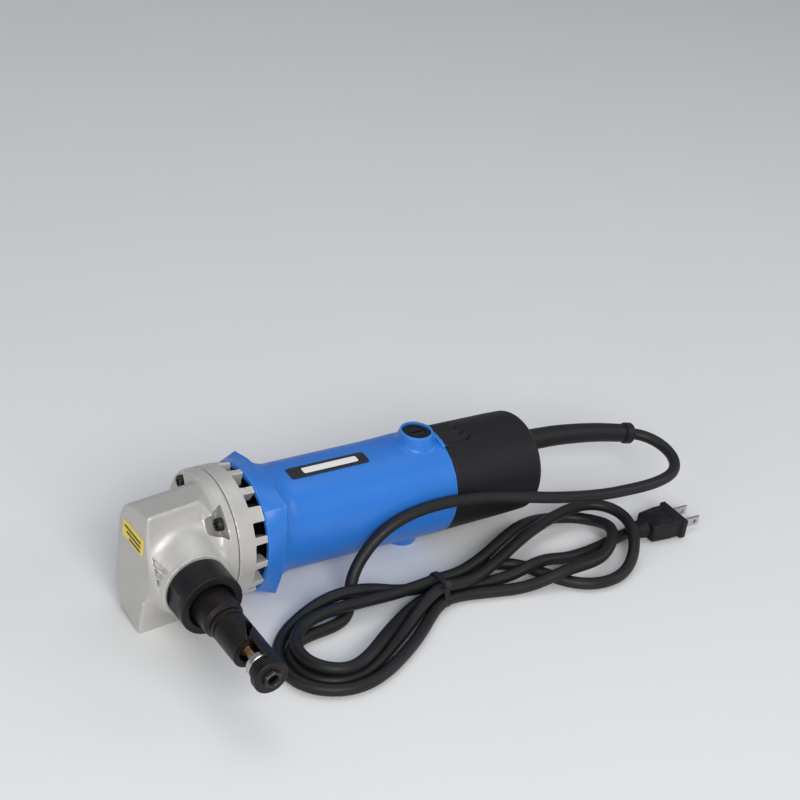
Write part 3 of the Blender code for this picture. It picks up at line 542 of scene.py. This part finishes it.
def motor_case(x, y, z):
    reach = from_axis(y, z)
    barrel = soft_square(y, z, np.interp(x, BARREL_X, BARREL_SIDE), np.interp(x, BARREL_X, BARREL_POWER))
    solid = rounded(0.5, 12.0 - x, x - COVER_X, 32.0 * (barrel - 1.0))
    longer = np.maximum(np.abs(y), np.abs(z)) / np.maximum(reach, 0.01)
    shorter = np.minimum(np.abs(y), np.abs(z)) / np.maximum(reach, 0.01)
    # the flange is a square with bulging sides behind, and round in front
    bulge = np.maximum(shorter, 0.02) ** 2 / 197.0
    rear = (np.sqrt(longer ** 2 + 144.0 * bulge) - longer) / (2.0 * bulge)
    share = np.clip((x - 0.8) / 11.8, 0.0, 1.0)
    front = 39.5 + (rear - 39.5) * share
    flange = rounded(0.35, -x, x - 13.1, 0.95 * (reach - front))
    solid = joined(solid, flange, 1.8)
    solid = np.minimum(solid, vent_lip(x, y, z, 134.6, COVER_X, 34.6))
    high, post = np.abs(z), from_axis(x, y, (BRUSH_X, 0.0))
    boss = rounded(0.35, high - AXIS_HEIGHT, 20.0 - high, 0.96 * (post - 10.3 - 0.26 * (AXIS_HEIGHT - high)))
    solid = joined(solid, boss, 2.4)
    # rooms for the fan, the motor, the brushes, the rear bearing, the screws, the switch and its rod
    for room in (drum(x, reach, -2.0, 13.0, 29.5), drum(x, reach, -2.0, 4.5, 36.6), drum(x, reach, -2.0, 129.0, 28.9),
                 drum(x, reach, 100.0, 134.8, 9.8), drum(x, reach, 100.0, 140.0, 5.5),
                 np.maximum(post - 9.1, 36.2 - high), np.maximum(post - 6.4, 20.0 - high),
                 drum(x, from_axis(np.abs(y), np.abs(z), (13.4, 13.4)), 128.0, 140.0, 5.0),
                 drum(x, screw_places(y, z), -2.0, 11.0, 2.3),
                 block(x, y, z, (51.0, 30.3, -7.0), (101.0, 45.0, 7.0), 0.5),
                 block(x, y, z, (63.0, 24.8, -2.2), (89.0, 34.8, 2.2)),
                 block(x, y, z, (127.0, 24.5, -2.5), (139.0, 28.7, 2.5))):
        solid = np.maximum(solid, -room)
    return solid


def end_cover(x, y, z):
    reach, sweep = from_axis(y, z), np.arctan2(np.abs(z), -y)
    outer = np.interp(x, (COVER_X, 190.0, COVER_END_X), (33.3, 32.7, 32.2))
    solid = np.maximum(rounded(5.5, reach - outer, x - COVER_END_X), COVER_X + 0.3 - x)
    solid = np.minimum(solid, vent_lip(x, y, z, COVER_X + 0.3, 139.4, 34.3))
    # each louvre spans a few degrees and gets deeper towards the one before it
    half = 3.6
    for number, middle in enumerate((75.5, 86.0, 96.5, 107.0)):
        turn = np.degrees(sweep) - middle
        floor = outer - 0.5 - 0.46 * (half - turn)
        end = 158.0 - 1.3 * number + 0.55 * turn
        louvre = rounded(0.3, 33.0 * np.radians(np.abs(turn) - half), 140.0 - x, 0.8 * (x - end), floor - reach)
        solid = cut(solid, louvre, 0.3)
    for station in (138.6, 140.4, 142.2):
        line = np.hypot(x - station, reach - outer - 0.15) - 0.42
        solid = np.maximum(solid, -np.maximum(line, 33.0 * (sweep - math.radians(52.0))))
    height = np.abs(z)
    inner = np.interp(x, (COVER_X, 196.0, 200.5), (30.0, 29.0, 25.0))
    # the hollow, the guard's hole, and the screws' holes with their counterbores
    for room in (np.maximum(np.maximum(reach - inner, x - 200.5), 136.0 - x),
                 drum(x, from_axis(y, z, (4.0, 9.0)), 198.0, 207.0, 7.6),
                 drum(x, from_axis(y, height, (0.0, TAIL_SCREW_Z)), 198.0, 207.0, 1.9),
                 drum(x, from_axis(y, height, (0.0, TAIL_SCREW_Z)), 202.4, 207.0, 3.6)):
        solid = np.maximum(solid, -room)
    return solid


moulded("gear_case", gear_case, (-74.0, -44.6, -41.5), (-17.5, 41.5, 43.0), 0.85, "die_cast", "housing",
        ("gear_housing",), 40.0)
moulded("bearing_bracket", bearing_bracket, (-20.5, -41.5, -41.5), (1.0, 41.5, 41.5), 0.75, "die_cast", "housing",
        ("vent_ring",), 40.0)
moulded("motor_case", motor_case, (-1.5, -45.0, -45.0), (138.5, 45.0, 45.0), 1.0, "blue_plastic", "housing",
        ("motor_housing",), 34.0)
moulded("end_cover", end_cover, (136.0, -35.5, -35.5), (206.5, 35.5, 35.5), 0.85, "black_plastic", "housing",
        ("rear_cover",), 34.0)

for index, (side, up) in enumerate(CORNERS):
    head = [(-26.0, hexagon(3.6)), (-28.0, hexagon(3.6)), (-28.0, hexagon(4.1)), (-28.0, 3.2), (-27.8, 3.6),
            (-27.3, 3.8), (-24.5, 3.8), (-24.5, 2.0), (9.6, 2.0), (10.0, 1.6)]
    turned(f"case_screw_{index + 1}", head, (0.0, side * SCREW_REACH, up * SCREW_REACH), "X", "black_oxide", "housing",
           (f"gear_case_screw_{index + 1}",), 48)
for index, up in enumerate((1, -1)):
    tail = [(COVER_X - 5.0, 1.2), (COVER_X - 4.5, 1.6), (202.7, 1.6), (202.7, 3.2), (204.2, 3.2), (204.7, 2.7),
            (204.7, hexagon(3.0)), (203.2, hexagon(3.0))]
    turned(f"tail_screw_{index + 1}", tail, (0.0, 0.0, up * TAIL_SCREW_Z), "X", "black_oxide", "housing",
           (f"cover_screw_{index + 1}",), 48)


def brush_cap(up):
    """A screwed cap with a slotted boss in its hollow; up is 1 for the upper one."""
    def field(x, y, z):
        high, post = up * z, from_axis(x, y, (BRUSH_X, 0.0))
        solid = np.minimum(drum(high, post, 36.5, 39.1, 8.5, 0.5), drum(high, post, 26.0, 37.0, 4.1))
        solid = np.maximum(solid, -drum(high, post, 38.4, 41.0, 6.6))
        solid = np.minimum(solid, drum(high, post, 36.5, 39.0, 4.9, 0.4))
        return np.maximum(solid, -block(x, y, high, (BRUSH_X - 4.2, -0.8, 37.7), (BRUSH_X + 4.2, 0.8, 42.0)))
    return field


for side, up in (("top", 1), ("bottom", -1)):
    reach = sorted((up * 25.0, up * 40.0))
    moulded(f"brush_plug_{side}", brush_cap(up), (BRUSH_X - 9.5, -9.5, reach[0]), (BRUSH_X + 9.5, 9.5, reach[1]), 0.36,
            "black_plastic", "housing", (f"brush_cap_{side}",))


# ---------------------------------------------------------------- stickers

def barrel_reach(x, angle, lift):
    side, power = np.interp(x, BARREL_X, BARREL_SIDE), np.interp(x, BARREL_X, BARREL_POWER)
    return 1.0 / soft_square(math.cos(angle), math.sin(angle), side, power) + lift


def corner_inset(place, length, radius):
    """How far a rounded corner draws in the end of a strip, at a place across its width."""
    left = max(0.0, radius - min(place, length - place))
    return radius - math.sqrt(radius * radius - left * left)


def barrel_patch(name, along, sweep, lift, thickness, look, replaces=()):
    """A thin sheet that follows the barrel, from one angle to another."""
    columns, rows = 28, 24
    length, width = along[1] - along[0], BARREL_RADIUS * math.radians(sweep[1] - sweep[0])
    points, faces = [], []
    for layer in (lift, lift + thickness):
        for i in range(columns + 1):
            for j in range(rows + 1):
                inset = corner_inset(j * width / rows, width, 0.03 * length)
                x = along[0] + inset + (length - 2.0 * inset) * i / columns
                angle = math.radians(180.0 - sweep[0] - (sweep[1] - sweep[0]) * j / rows)
                reach = barrel_reach(x, angle, layer)
                points.append((x, reach * math.cos(angle), reach * math.sin(angle)))
    stride, layer = rows + 1, (columns + 1) * (rows + 1)
    for i in range(columns):
        for j in range(rows):
            corner = i * stride + j
            quad = (corner, corner + 1, corner + stride + 1, corner + stride)
            faces.append(tuple(reversed(quad)))
            faces.append(tuple(layer + c for c in quad))
    rim = (list(range(rows)) + [i * stride + rows for i in range(columns)]
           + [columns * stride + j for j in range(rows, 0, -1)] + [i * stride for i in range(columns, 0, -1)])
    for first, second in zip(rim, rim[1:] + rim[:1]):
        faces.append((first, second, layer + second, layer + first))
    obj = add(name, points, faces, look, "housing", replaces)
    shape = bmesh.new()
    shape.from_mesh(obj.data)
    bmesh.ops.recalc_face_normals(shape, faces=shape.faces)
    shape.to_mesh(obj.data)
    shape.free()
    return obj


barrel_patch("name_sticker", (30.0, 84.0), (74.5, 92.5), 0.1, 0.35, "dark_label", ("name_label",))
barrel_patch("name_sticker_bar", (39.5, 77.5), (79.0, 88.0), 0.46, 0.08, "white_ink", ())


def nose_plate(name, low, high, near_x, far_x, radius, look, replaces):
    """A thin plate with rounded corners on the nose; low and high are its Y and Z."""
    def field(x, y, z):
        return np.maximum(rounded(radius, low[0] - y, y - high[0], low[1] - z, z - high[1]),
                          np.maximum(near_x - x, x - far_x))
    moulded(name, field, (near_x - 0.6, low[0] - 1.0, low[1] - 1.0), (far_x + 0.6, high[0] + 1.0, high[1] + 1.0), 0.3,
            look, "housing", replaces)


nose_plate("nose_sticker", (-21.9, 12.6), (2.8, 23.4), -72.9, -72.1, 1.4, "yellow_label", ("warning_label",))
for index, end in enumerate((0.6, -2.4, -6.0)):
    level = 20.3 - 2.9 * index
    nose_plate(f"nose_sticker_bar_{index + 1}", (-19.6, level - 0.65), (end, level + 0.65), -73.1, -72.2, 0.3,
               "dark_ink", ())


# ---------------------------------------------------------------- head

def lock_nut(x, y, z):
    out, around = -y, from_axis(x, z, (HEAD_X, 0.0))
    solid = drum(out, around, NUT_START, NUT_END, NUT_RADIUS, 0.7)
    solid = np.maximum(solid, -rounded(0.3, FLAT_REACH - np.abs(x - HEAD_X), 44.5 - out, out - 57.5))
    for room in (drum(out, around, 40.0, 58.3, BORE_RADIUS), drum(out, around, 50.0, 66.0, 12.7),
                 np.maximum(0.8 * (around - 14.6 + 0.7 * (NUT_END - out)), 58.0 - out)):
        solid = np.maximum(solid, -room)
    return solid


def die_holder(x, y, z):
    out, across = -y, x - HEAD_X
    around = from_axis(x, z, (HEAD_X, 0.0))
    outer = np.interp(out, (53.0, 57.8, 57.85, 75.8, 78.2, 130.0), (14.0, 14.0, 12.3, 12.0, 10.4, 10.2))
    solid = rounded(0.7, around - outer, 53.2 - out, out - HOLDER_END)
    for groove in (79.3, 83.2):
        solid = cut(solid, rounded(0.2, np.abs(out - groove) - 0.75, 9.4 - around), 0.2)
    # the throat is open towards the nose, and a slanting slot leads into it
    throat = rounded(0.5, SEAT_START - out, out - SEAT_END, across + 0.4)
    edge = across - 3.0 + 0.46 * (out - 93.0)
    slot = rounded(0.3, 0.9 * -edge, 0.8 * (edge - 5.2 + 0.33 * (out - 93.0)), 91.0 - out, out - 110.0, 2.5 - z)
    for room in (throat, slot, drum(out, around, SEAT_START, SEAT_END, 8.6), drum(out, around, 45.0, 107.0, 6.5),
                 drum(out, around, 95.0, 135.0, 3.3)):
        solid = np.maximum(solid, -room)
    return solid


moulded("head_lock_nut", lock_nut, (HEAD_X - 20.0, -63.4, -20.0), (HEAD_X + 20.0, -42.6, 20.0), 0.5, "black_oxide",
        "lock_nut", ("lock_nut",))
moulded("head_die_holder", die_holder, (HEAD_X - 14.8, -130.4, -14.8), (HEAD_X + 14.8, -52.2, 14.8), 0.42, "bronzed",
        "head", ("die_holder",), 30.0)

HEAD = (HEAD_X, 0.0, 0.0)
turned("head_punch", [(88.5, 4.4), (89.1, 5.0), (95.0, 5.0), (95.4, 4.6), (96.0, 4.6), (96.4, 5.0), (102.6, 5.0),
                      (103.6, 4.2)], HEAD, "-Y", "bronzed", "punch", ("punch",))
turned("head_punch_tip", [(103.9, 3.2), (104.2, 3.6), (105.6, 2.9), (115.2, 2.9), (115.6, 2.5)], HEAD, "-Y", "brass",
       "punch", ("punch_tip",))
turned("head_die", [(114.0, 6.6), (115.2, 7.9), (115.6, 8.1), (118.9, 8.1), (119.2, 7.8), (119.2, 3.25), (114.5, 3.25),
                    (114.0, 3.7)], HEAD, "-Y", "steel", "head", ("die",), closed=True)
ribs = [(119.5, 8.0)]
for index in range(4):
    start = 119.7 + 1.12 * index
    ribs += [(start, 8.3), (start + 0.6, 8.3), (start + 0.7, 7.8), (start + 1.0, 7.8)]
turned("head_die_ring", ribs + [(124.2, 8.0), (124.2, 3.3), (119.5, 3.3)], HEAD, "-Y", "black_oxide", "head",
       ("die_ring",), closed=True)
turned("head_die_nut", [(129.7, hexagon(9.4)), (131.3, hexagon(9.4)), (131.8, hexagon(8.5)), (131.8, 3.7), (131.4, 3.3),
                        (129.7, 3.3)], HEAD, "-Y", "black_oxide", "head", ("die_nut",), closed=True)


# ---------------------------------------------------------------- switch on the far side

def slide_button(x, y, z):
    across = x - SWITCH_X
    crown = 1.4 * (across / 15.0) ** 2
    solid = rounded(0.9, np.abs(across) - 15.0, 30.8 - y, y - 34.9, np.abs(z) - 5.5)
    solid = np.maximum(solid, np.where(np.abs(across) < 11.0, y - 33.6 - crown, solid))
    for index in range(-3, 4):
        ridge = np.hypot(across - 2.9 * index, y - 33.5) - 1.1
        solid = joined(solid, rounded(0.2, ridge, np.abs(z) - 4.6), 0.3)
    return np.minimum(solid, block(x, y, z, (74.0, 27.75, -1.7), (82.0, 33.0, 1.7)))


moulded("slide_button", slide_button, (62.0, 27.0, -6.5), (94.0, 36.0, 6.5), 0.42, "black_plastic", "switch",
        ("switch_button",))


# ---------------------------------------------------------------- guard, cord, plug and tie

def curve_points(route, spacing):
    """Points every so often along a smooth curve through the route's own points."""
    route = [Vector(point) for point in route]
    ends = [route[0] * 2.0 - route[1]] + route + [route[-1] * 2.0 - route[-2]]
    kept = [route[0]]
    parts = 32
    travelled = 0.0
    for index in range(1, len(ends) - 2):
        before, start, end, after = ends[index - 1:index + 3]
        previous = start
        for step in range(1, parts + 1):
            t = step / parts
            point = 0.5 * ((2.0 * start) + (end - before) * t
                           + (2.0 * before - 5.0 * start + 4.0 * end - after) * t * t
                           + (3.0 * start - before - 3.0 * end + after) * t * t * t)
            travelled += (point - previous).length
            previous = point
            if travelled >= spacing:
                kept.append(point)
                travelled = 0.0
    if (kept[-1] - route[-1]).length < 0.4 * spacing:
        kept.pop()
    return kept + [route[-1]]


def sleeve(name, points, radii, look, body, replaces):
    """A round moulding along a path, of one radius at each point."""
    steps = 48
    shape = bmesh.new()
    loops = []
    normal = Vector((0.0, 0.0, 1.0))
    for index, (point, radius) in enumerate(zip(points, radii)):
        forward = (points[min(index + 1, len(points) - 1)] - points[max(index - 1, 0)]).normalized()
        normal = (normal - forward * normal.dot(forward)).normalized()
        side = forward.cross(normal)
        loops.append([shape.verts.new(point + (normal * math.cos(a) + side * math.sin(a)) * radius)
                      for a in (math.tau * step / steps for step in range(steps))])
    for first, second in zip(loops, loops[1:]):
        for index in range(steps):
            after = (index + 1) % steps
            shape.faces.new((first[index], first[after], second[after], second[index]))
    shape.faces.new(list(reversed(loops[0])))
    shape.faces.new(loops[-1])
    return from_bmesh(name, shape, look, body, replaces)


GUARD_ROUTE = ((198.4, 4.0, 9.0), (212.0, 3.6, 9.0), (240.0, 2.6, 8.2), (270.0, -0.6, 5.6), (298.0, -6.0, 2.0))
GROOVE_X, COLLAR_X = 291.2, 292.6
guard_points = curve_points(GUARD_ROUTE, 0.8)
# tapering to a groove and the collar at the end
guard_radii = []
for point in guard_points:
    share = (point.x - GUARD_ROUTE[0][0]) / (GUARD_ROUTE[-1][0] - GUARD_ROUTE[0][0])
    radius = 7.25 - 1.25 * share
    if point.x > COLLAR_X:
        radius = 7.1 - 0.6 * max(0.0, point.x - 297.0) ** 2
    elif point.x > GROOVE_X:
        radius = 5.7
    guard_radii.append(radius)
sleeve("cord_sleeve", guard_points, guard_radii, "rubber", "housing", ("cord_guard",))

# the two layers of the hank: on the floor, and on the runs below
LOW, HIGH = -36.1, -28.6
CORD_ROUTE = (
    # out of the guard, round in front of the cover and along the barrel, then down to the floor
    (299.9, -6.4, 1.75), (307.8, -12.3, 1.0), (313.0, -20.6, -0.8), (314.3, -30.3, -2.4), (311.4, -39.6, -3.8),
    (304.8, -46.8, -4.8), (295.7, -50.6, -5.2), (282.0, -53.0, -5.0), (270.0, -54.4, -4.0), (237.0, -55.5, -1.0),
    (202.0, -52.0, 3.0), (166.0, -43.0, 7.0), (142.0, -38.8, 9.0), (118.0, -37.2, 9.5), (96.0, -36.8, 6.5),
    (79.0, -37.5, -1.0), (69.0, -38.5, -10.5), (61.0, -40.8, -20.0), (55.5, -45.5, -28.5), (51.5, -52.5, -34.0),
    # left end of the hank, inside
    (47.0, -60.0, LOW), (38.0, -65.5, LOW), (27.0, -67.5, LOW), (15.0, -68.0, LOW), (4.0, -71.0, LOW),
    (-4.0, -78.0, LOW), (-7.5, -88.0, LOW), (-5.0, -99.0, LOW), (3.0, -107.5, LOW), (14.0, -111.5, LOW),
    (27.0, -110.5, LOW), (42.0, -103.5, LOW), (56.0, -95.0, LOW), (70.0, -86.5, LOW), (84.0, -78.0, -33.0),
    (96.0, -72.0, -29.0), (108.0, -68.3, -27.6),
    # right end, outer loop
    (126.0, -69.5, HIGH), (144.0, -63.5, HIGH), (162.0, -55.5, HIGH), (182.0, -46.0, HIGH), (202.0, -38.0, HIGH),
    (222.0, -33.0, -27.5), (240.0, -32.0, -25.5), (253.0, -36.5, -25.0), (260.0, -46.0, -25.0), (260.5, -58.0, -25.0),
    (256.0, -71.0, -27.5), (247.0, -83.0, -32.0), (234.0, -92.0, LOW), (219.0, -96.0, LOW), (204.0, -94.0, LOW),
    (192.0, -86.0, LOW), (184.0, -75.0, LOW), (177.0, -63.5, LOW), (167.0, -55.0, LOW), (154.0, -51.5, LOW),
    (140.0, -52.5, LOW), (124.0, -55.5, LOW), (108.0, -57.0, -35.1),
    # left end, outer loop
    (94.0, -56.5, -34.5), (80.0, -55.5, -32.0), (66.0, -54.0, -27.5), (52.0, -52.5, -26.0), (38.0, -51.5, -27.0),
    (24.0, -53.0, -30.5), (10.0, -57.0, -34.5), (-2.0, -64.5, LOW), (-11.0, -76.0, LOW), (-14.5, -90.0, LOW),
    (-12.0, -103.0, LOW), (-3.0, -113.0, LOW), (10.0, -118.5, LOW), (24.0, -119.0, LOW), (39.0, -114.5, LOW),
    (54.0, -107.0, LOW), (70.0, -97.5, LOW), (84.0, -87.5, LOW), (96.0, -78.0, LOW), (108.0, -72.0, -35.1),
    # right end, inner loop
    (122.0, -71.5, LOW), (140.0, -75.5, LOW), (160.0, -80.0, LOW), (176.0, -82.0, -33.5), (192.0, -83.5, HIGH),
    (208.0, -83.5, HIGH), (224.0, -79.5, -30.0), (237.0, -71.5, HIGH), (246.0, -61.5, -27.5), (250.0, -49.5, -31.0),
    (247.5, -38.0, -35.0), (239.0, -29.5, LOW), (226.0, -25.5, LOW), (210.0, -26.0, -33.5), (194.0, -31.0, -30.0),
    (178.0, -38.0, HIGH), (160.0, -46.5, HIGH), (142.0, -54.5, HIGH), (124.0, -60.0, HIGH), (108.0, -60.8, -27.6),
    # left end, on top of the first loop
    (92.0, -61.5, HIGH), (76.0, -62.0, HIGH), (60.0, -61.5, HIGH), (48.0, -61.0, HIGH), (36.0, -61.0, HIGH),
    (22.0, -62.5, HIGH), (9.0, -67.5, HIGH), (-1.0, -76.5, HIGH), (-4.5, -88.0, HIGH), (-2.0, -99.5, HIGH),
    (6.0, -107.5, HIGH), (17.0, -110.5, -29.5), (29.0, -107.0, HIGH), (42.0, -99.0, HIGH), (54.0, -90.0, -31.0),
    (66.0, -81.0, -34.5), (78.0, -73.5, LOW), (92.0, -67.5, LOW), (108.0, -64.5, -35.1),
    # on to the plug
    (124.0, -64.0, LOW), (142.0, -66.5, LOW), (160.0, -69.0, -34.0), (172.0, -69.5, -30.0), (182.0, -69.0, HIGH),
    (193.0, -68.0, -31.0), (206.0, -66.5, -35.0), (222.0, -65.0, LOW), (238.0, -63.5, -35.6), (250.0, -62.0, -34.0),
    (262.0, -61.0, -33.25),
)
cord_points = curve_points(((292.0, -4.9, 2.8),) + CORD_ROUTE, 3.0)
SMOOTHING_ROUNDS = 8
for _ in range(SMOOTHING_ROUNDS):
    cord_points[2:-2] = [0.5 * point + 0.25 * (before + after) for before, point, after
                         in zip(cord_points[1:], cord_points[2:-2], cord_points[3:])]
cord_line = bpy.data.curves.new("mains_cord", "CURVE")
cord_line.dimensions = "3D"
cord_line.bevel_depth = 0.5 * CORD_DIAMETER * MM
cord_line.bevel_resolution = 6
cord_line.use_fill_caps = True
spline = cord_line.splines.new("POLY")
spline.points.add(len(cord_points) - 1)
for knot, point in zip(spline.points, cord_points):
    knot.co = (*world(point), 1.0)
cord_line.materials.append(LOOKS["rubber"])
mains_cord = bpy.data.objects.new("mains_cord", cord_line)
bpy.context.scene.collection.objects.link(mains_cord)
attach(mains_cord, "housing")
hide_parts("cord_tube", "cord_hank")


def tie_band(strands, reach, thickness, x, width):
    """A closed strap pulled tight round several strands that cross a plane of constant x."""
    shape = bmesh.new()
    steps = 160
    loops = []
    for station, grow in ((-0.5, 0.0), (-0.5, 0.8), (-0.4, 1.0), (0.4, 1.0), (0.5, 0.8), (0.5, 0.0)):
        loop = []
        for index in range(steps):
            angle = math.tau * index / steps
            way = Vector((math.cos(angle), math.sin(angle)))
            best = max(strands, key=lambda strand: Vector(strand).dot(way))
            y, z = Vector(best) + way * (reach + thickness * grow)
            loop.append(shape.verts.new((x + station * width, y, z)))
        loops.append(loop)
    for first, second in zip(loops, loops[1:] + loops[:1]):
        for index in range(steps):
            after = (index + 1) % steps
            shape.faces.new((first[index], first[after], second[after], second[index]))
    return shape


TIE_X = 107.5
TIED_RUNS = ((-57.0, -35.1), (-64.5, -35.1), (-72.0, -35.1), (-68.3, -27.6), (-60.8, -27.6))
strap = tie_band(TIED_RUNS, reach=3.85, thickness=0.9, x=TIE_X, width=3.6)
lock = block_shape((5.2, 4.4, 6.0), (TIE_X, -71.6, -24.6), Matrix.Rotation(math.radians(38.0), 3, "X"))
bmesh.ops.bevel(lock, geom=lock.edges[:], offset=0.7, segments=2, affect="EDGES")
spare = bpy.data.meshes.new("spare")
lock.to_mesh(spare)
strap.from_mesh(spare)
lock.free()
bpy.data.meshes.remove(spare)
from_bmesh("hank_tie", strap, "black_plastic", "housing", ("cord_tie",))


def plug_moulding(x, y, z):
    side, high = y - PLUG_Y, z - PLUG_Z
    body = rounded(2.2, 274.5 - x, x - 298.6, np.abs(side) - 9.4 - 0.11 * np.minimum(x - 274.5, 14.0),
                   np.abs(high) - 6.5)
    flange = rounded(1.0, 296.3 - x, x - 300.9, np.abs(side) - 12.5, np.abs(high) - 6.7)
    solid = joined(body, flange, 0.8)
    # engraved lines on top: a panel, a ring in it, and two grooves across
    middle = 286.4
    panel = rounded(1.8, np.abs(x - middle) - 6.6, np.abs(side) - 6.8)
    top = high - 6.5
    solid = cut(solid, np.hypot(panel, top) - 0.42, 0.25)
    solid = cut(solid, np.hypot(from_axis(x, side, (middle, 0.0)) - 3.9, top) - 0.36, 0.25)
    for station in (276.2, 277.6):
        solid = cut(solid, np.hypot(x - station, top) - 0.4, 0.2)
    around = from_axis(side, high)
    neck = np.interp(x, (262.0, 276.0), (4.9, 6.2)) + 0.45 * np.cos((x - 262.0) * math.tau / 2.8)
    relief = 0.9 * rounded(0.3, 262.3 - x, x - 277.0, around - neck)
    solid = joined(solid, relief, 0.6)
    for seat in (-BLADE_REACH, BLADE_REACH):
        solid = np.maximum(solid, -block(x, side, high, (295.0, seat - 1.05, -3.45), (303.0, seat + 1.05, 3.45)))
    return solid


moulded("plug_moulding", plug_moulding, (261.5, -74.5, -40.6), (301.8, -47.5, -25.8), 0.42, "black_plastic", "housing",
        ("plug_body",))
for index, side in enumerate((-BLADE_REACH, BLADE_REACH)):
    def blade(x, y, z, side=side):
        across, high = y - PLUG_Y - side, z - PLUG_Z
        tip = np.abs(across) - 0.75 + 0.3 * np.clip(x - 314.5, 0.0, 2.0)
        plate = rounded(0.15, np.abs(high) - 3.15, x - 316.4, 295.6 - x, tip)
        return np.maximum(plate, 1.5 - from_axis(x, high, (311.8, 0.0)))
    moulded(f"plug_pin_{index + 1}", blade, (295.0, side + PLUG_Y - 1.2, -37.0), (317.2, side + PLUG_Y + 1.2, -29.6),
            0.3, "steel", "housing", (f"plug_blade_{index + 1}",))


# ---------------------------------------------------------------- inner parts, which keep their CAD shapes

for part in frame["record"]["subparts"]:
    obj = frame["nodes"][part["node"]]
    if not obj.hide_render:
        for index in range(len(obj.material_slots)):
            obj.material_slots[index].material = LOOKS[part["material_slot"]]


# ---------------------------------------------------------------- floor, lights and camera

def flat_finish(name, colour, rough):
    return finish(name, colour, rough, patch=(0.99, 1.01), patch_scale=2.0, grain_scale=600.0, grain=0.05)


floor_mesh = bpy.data.meshes.new("floor")
floor_mesh.from_pydata([(-6.0, -6.0, 0.0), (6.0, -6.0, 0.0), (6.0, 6.0, 0.0), (-6.0, 6.0, 0.0)], [], [(0, 1, 2, 3)])
floor = bpy.data.objects.new("floor", floor_mesh)
bpy.context.scene.collection.objects.link(floor)
floor_mesh.materials.append(flat_finish("pale_floor", (0.80, 0.80, 0.79), (0.55, 0.65)))


def lamp(name, place, aim, size, power, colour=(1.0, 1.0, 1.0)):
    light = bpy.data.lights.new(name, "AREA")
    light.shape = "RECTANGLE"
    light.size, light.size_y = size
    light.energy = power
    light.color = colour
    obj = bpy.data.objects.new(name, light)
    obj.location = place
    obj.rotation_euler = (Vector(aim) - Vector(place)).to_track_quat("-Z", "Y").to_euler()
    bpy.context.scene.collection.objects.link(obj)


# each lamp's place, what it is aimed at, and its size, in metres, then its watts
lamp("key", (-0.55, -1.55, 1.15), (0.0, 0.0, 0.04), (1.1, 0.8), 25.0)
lamp("front", (-1.5, -0.5, 0.75), (-0.1, 0.0, 0.05), (0.7, 0.7), 5.0)
lamp("top", (0.25, 0.35, 1.7), (0.05, 0.0, 0.0), (1.4, 1.0), 6.0, (0.86, 0.91, 1.0))
lamp("side", (1.5, -0.7, 0.9), (0.1, 0.0, 0.03), (0.8, 0.8), 5.0)

world_light = bpy.data.worlds.new("studio")
world_light.use_nodes = True
world_light.node_tree.nodes["Background"].inputs["Color"].default_value = (0.90, 0.93, 1.0, 1.0)
world_light.node_tree.nodes["Background"].inputs["Strength"].default_value = 0.30
bpy.context.scene.world = world_light
bpy.context.scene.view_settings.view_transform = "Standard"

# Seen from above the nose, on the head's side
CAMERA_PLACE = (-470.6, -754.6, 620.3)
VIEW_FORWARD = (0.5240, 0.6860, -0.5047)
VIEW_RIGHT = (0.8325, -0.5376, 0.1337)
forward = Vector(VIEW_FORWARD).normalized()
right = Vector(VIEW_RIGHT)
right = (right - forward * right.dot(forward)).normalized()
up = right.cross(forward)
lens = bpy.data.cameras.new("camera")
lens.lens = 82.2
lens.sensor_width = 36.0
lens.clip_start = 0.05
lens.clip_end = 30.0
camera = bpy.data.objects.new("camera", lens)
facing = Matrix((right, up, -forward)).transposed().to_4x4()
camera.matrix_world = Matrix.Translation(world(CAMERA_PLACE)) @ facing
bpy.context.scene.collection.objects.link(camera)
bpy.context.scene.camera = camera

bpy.context.view_layer.update()
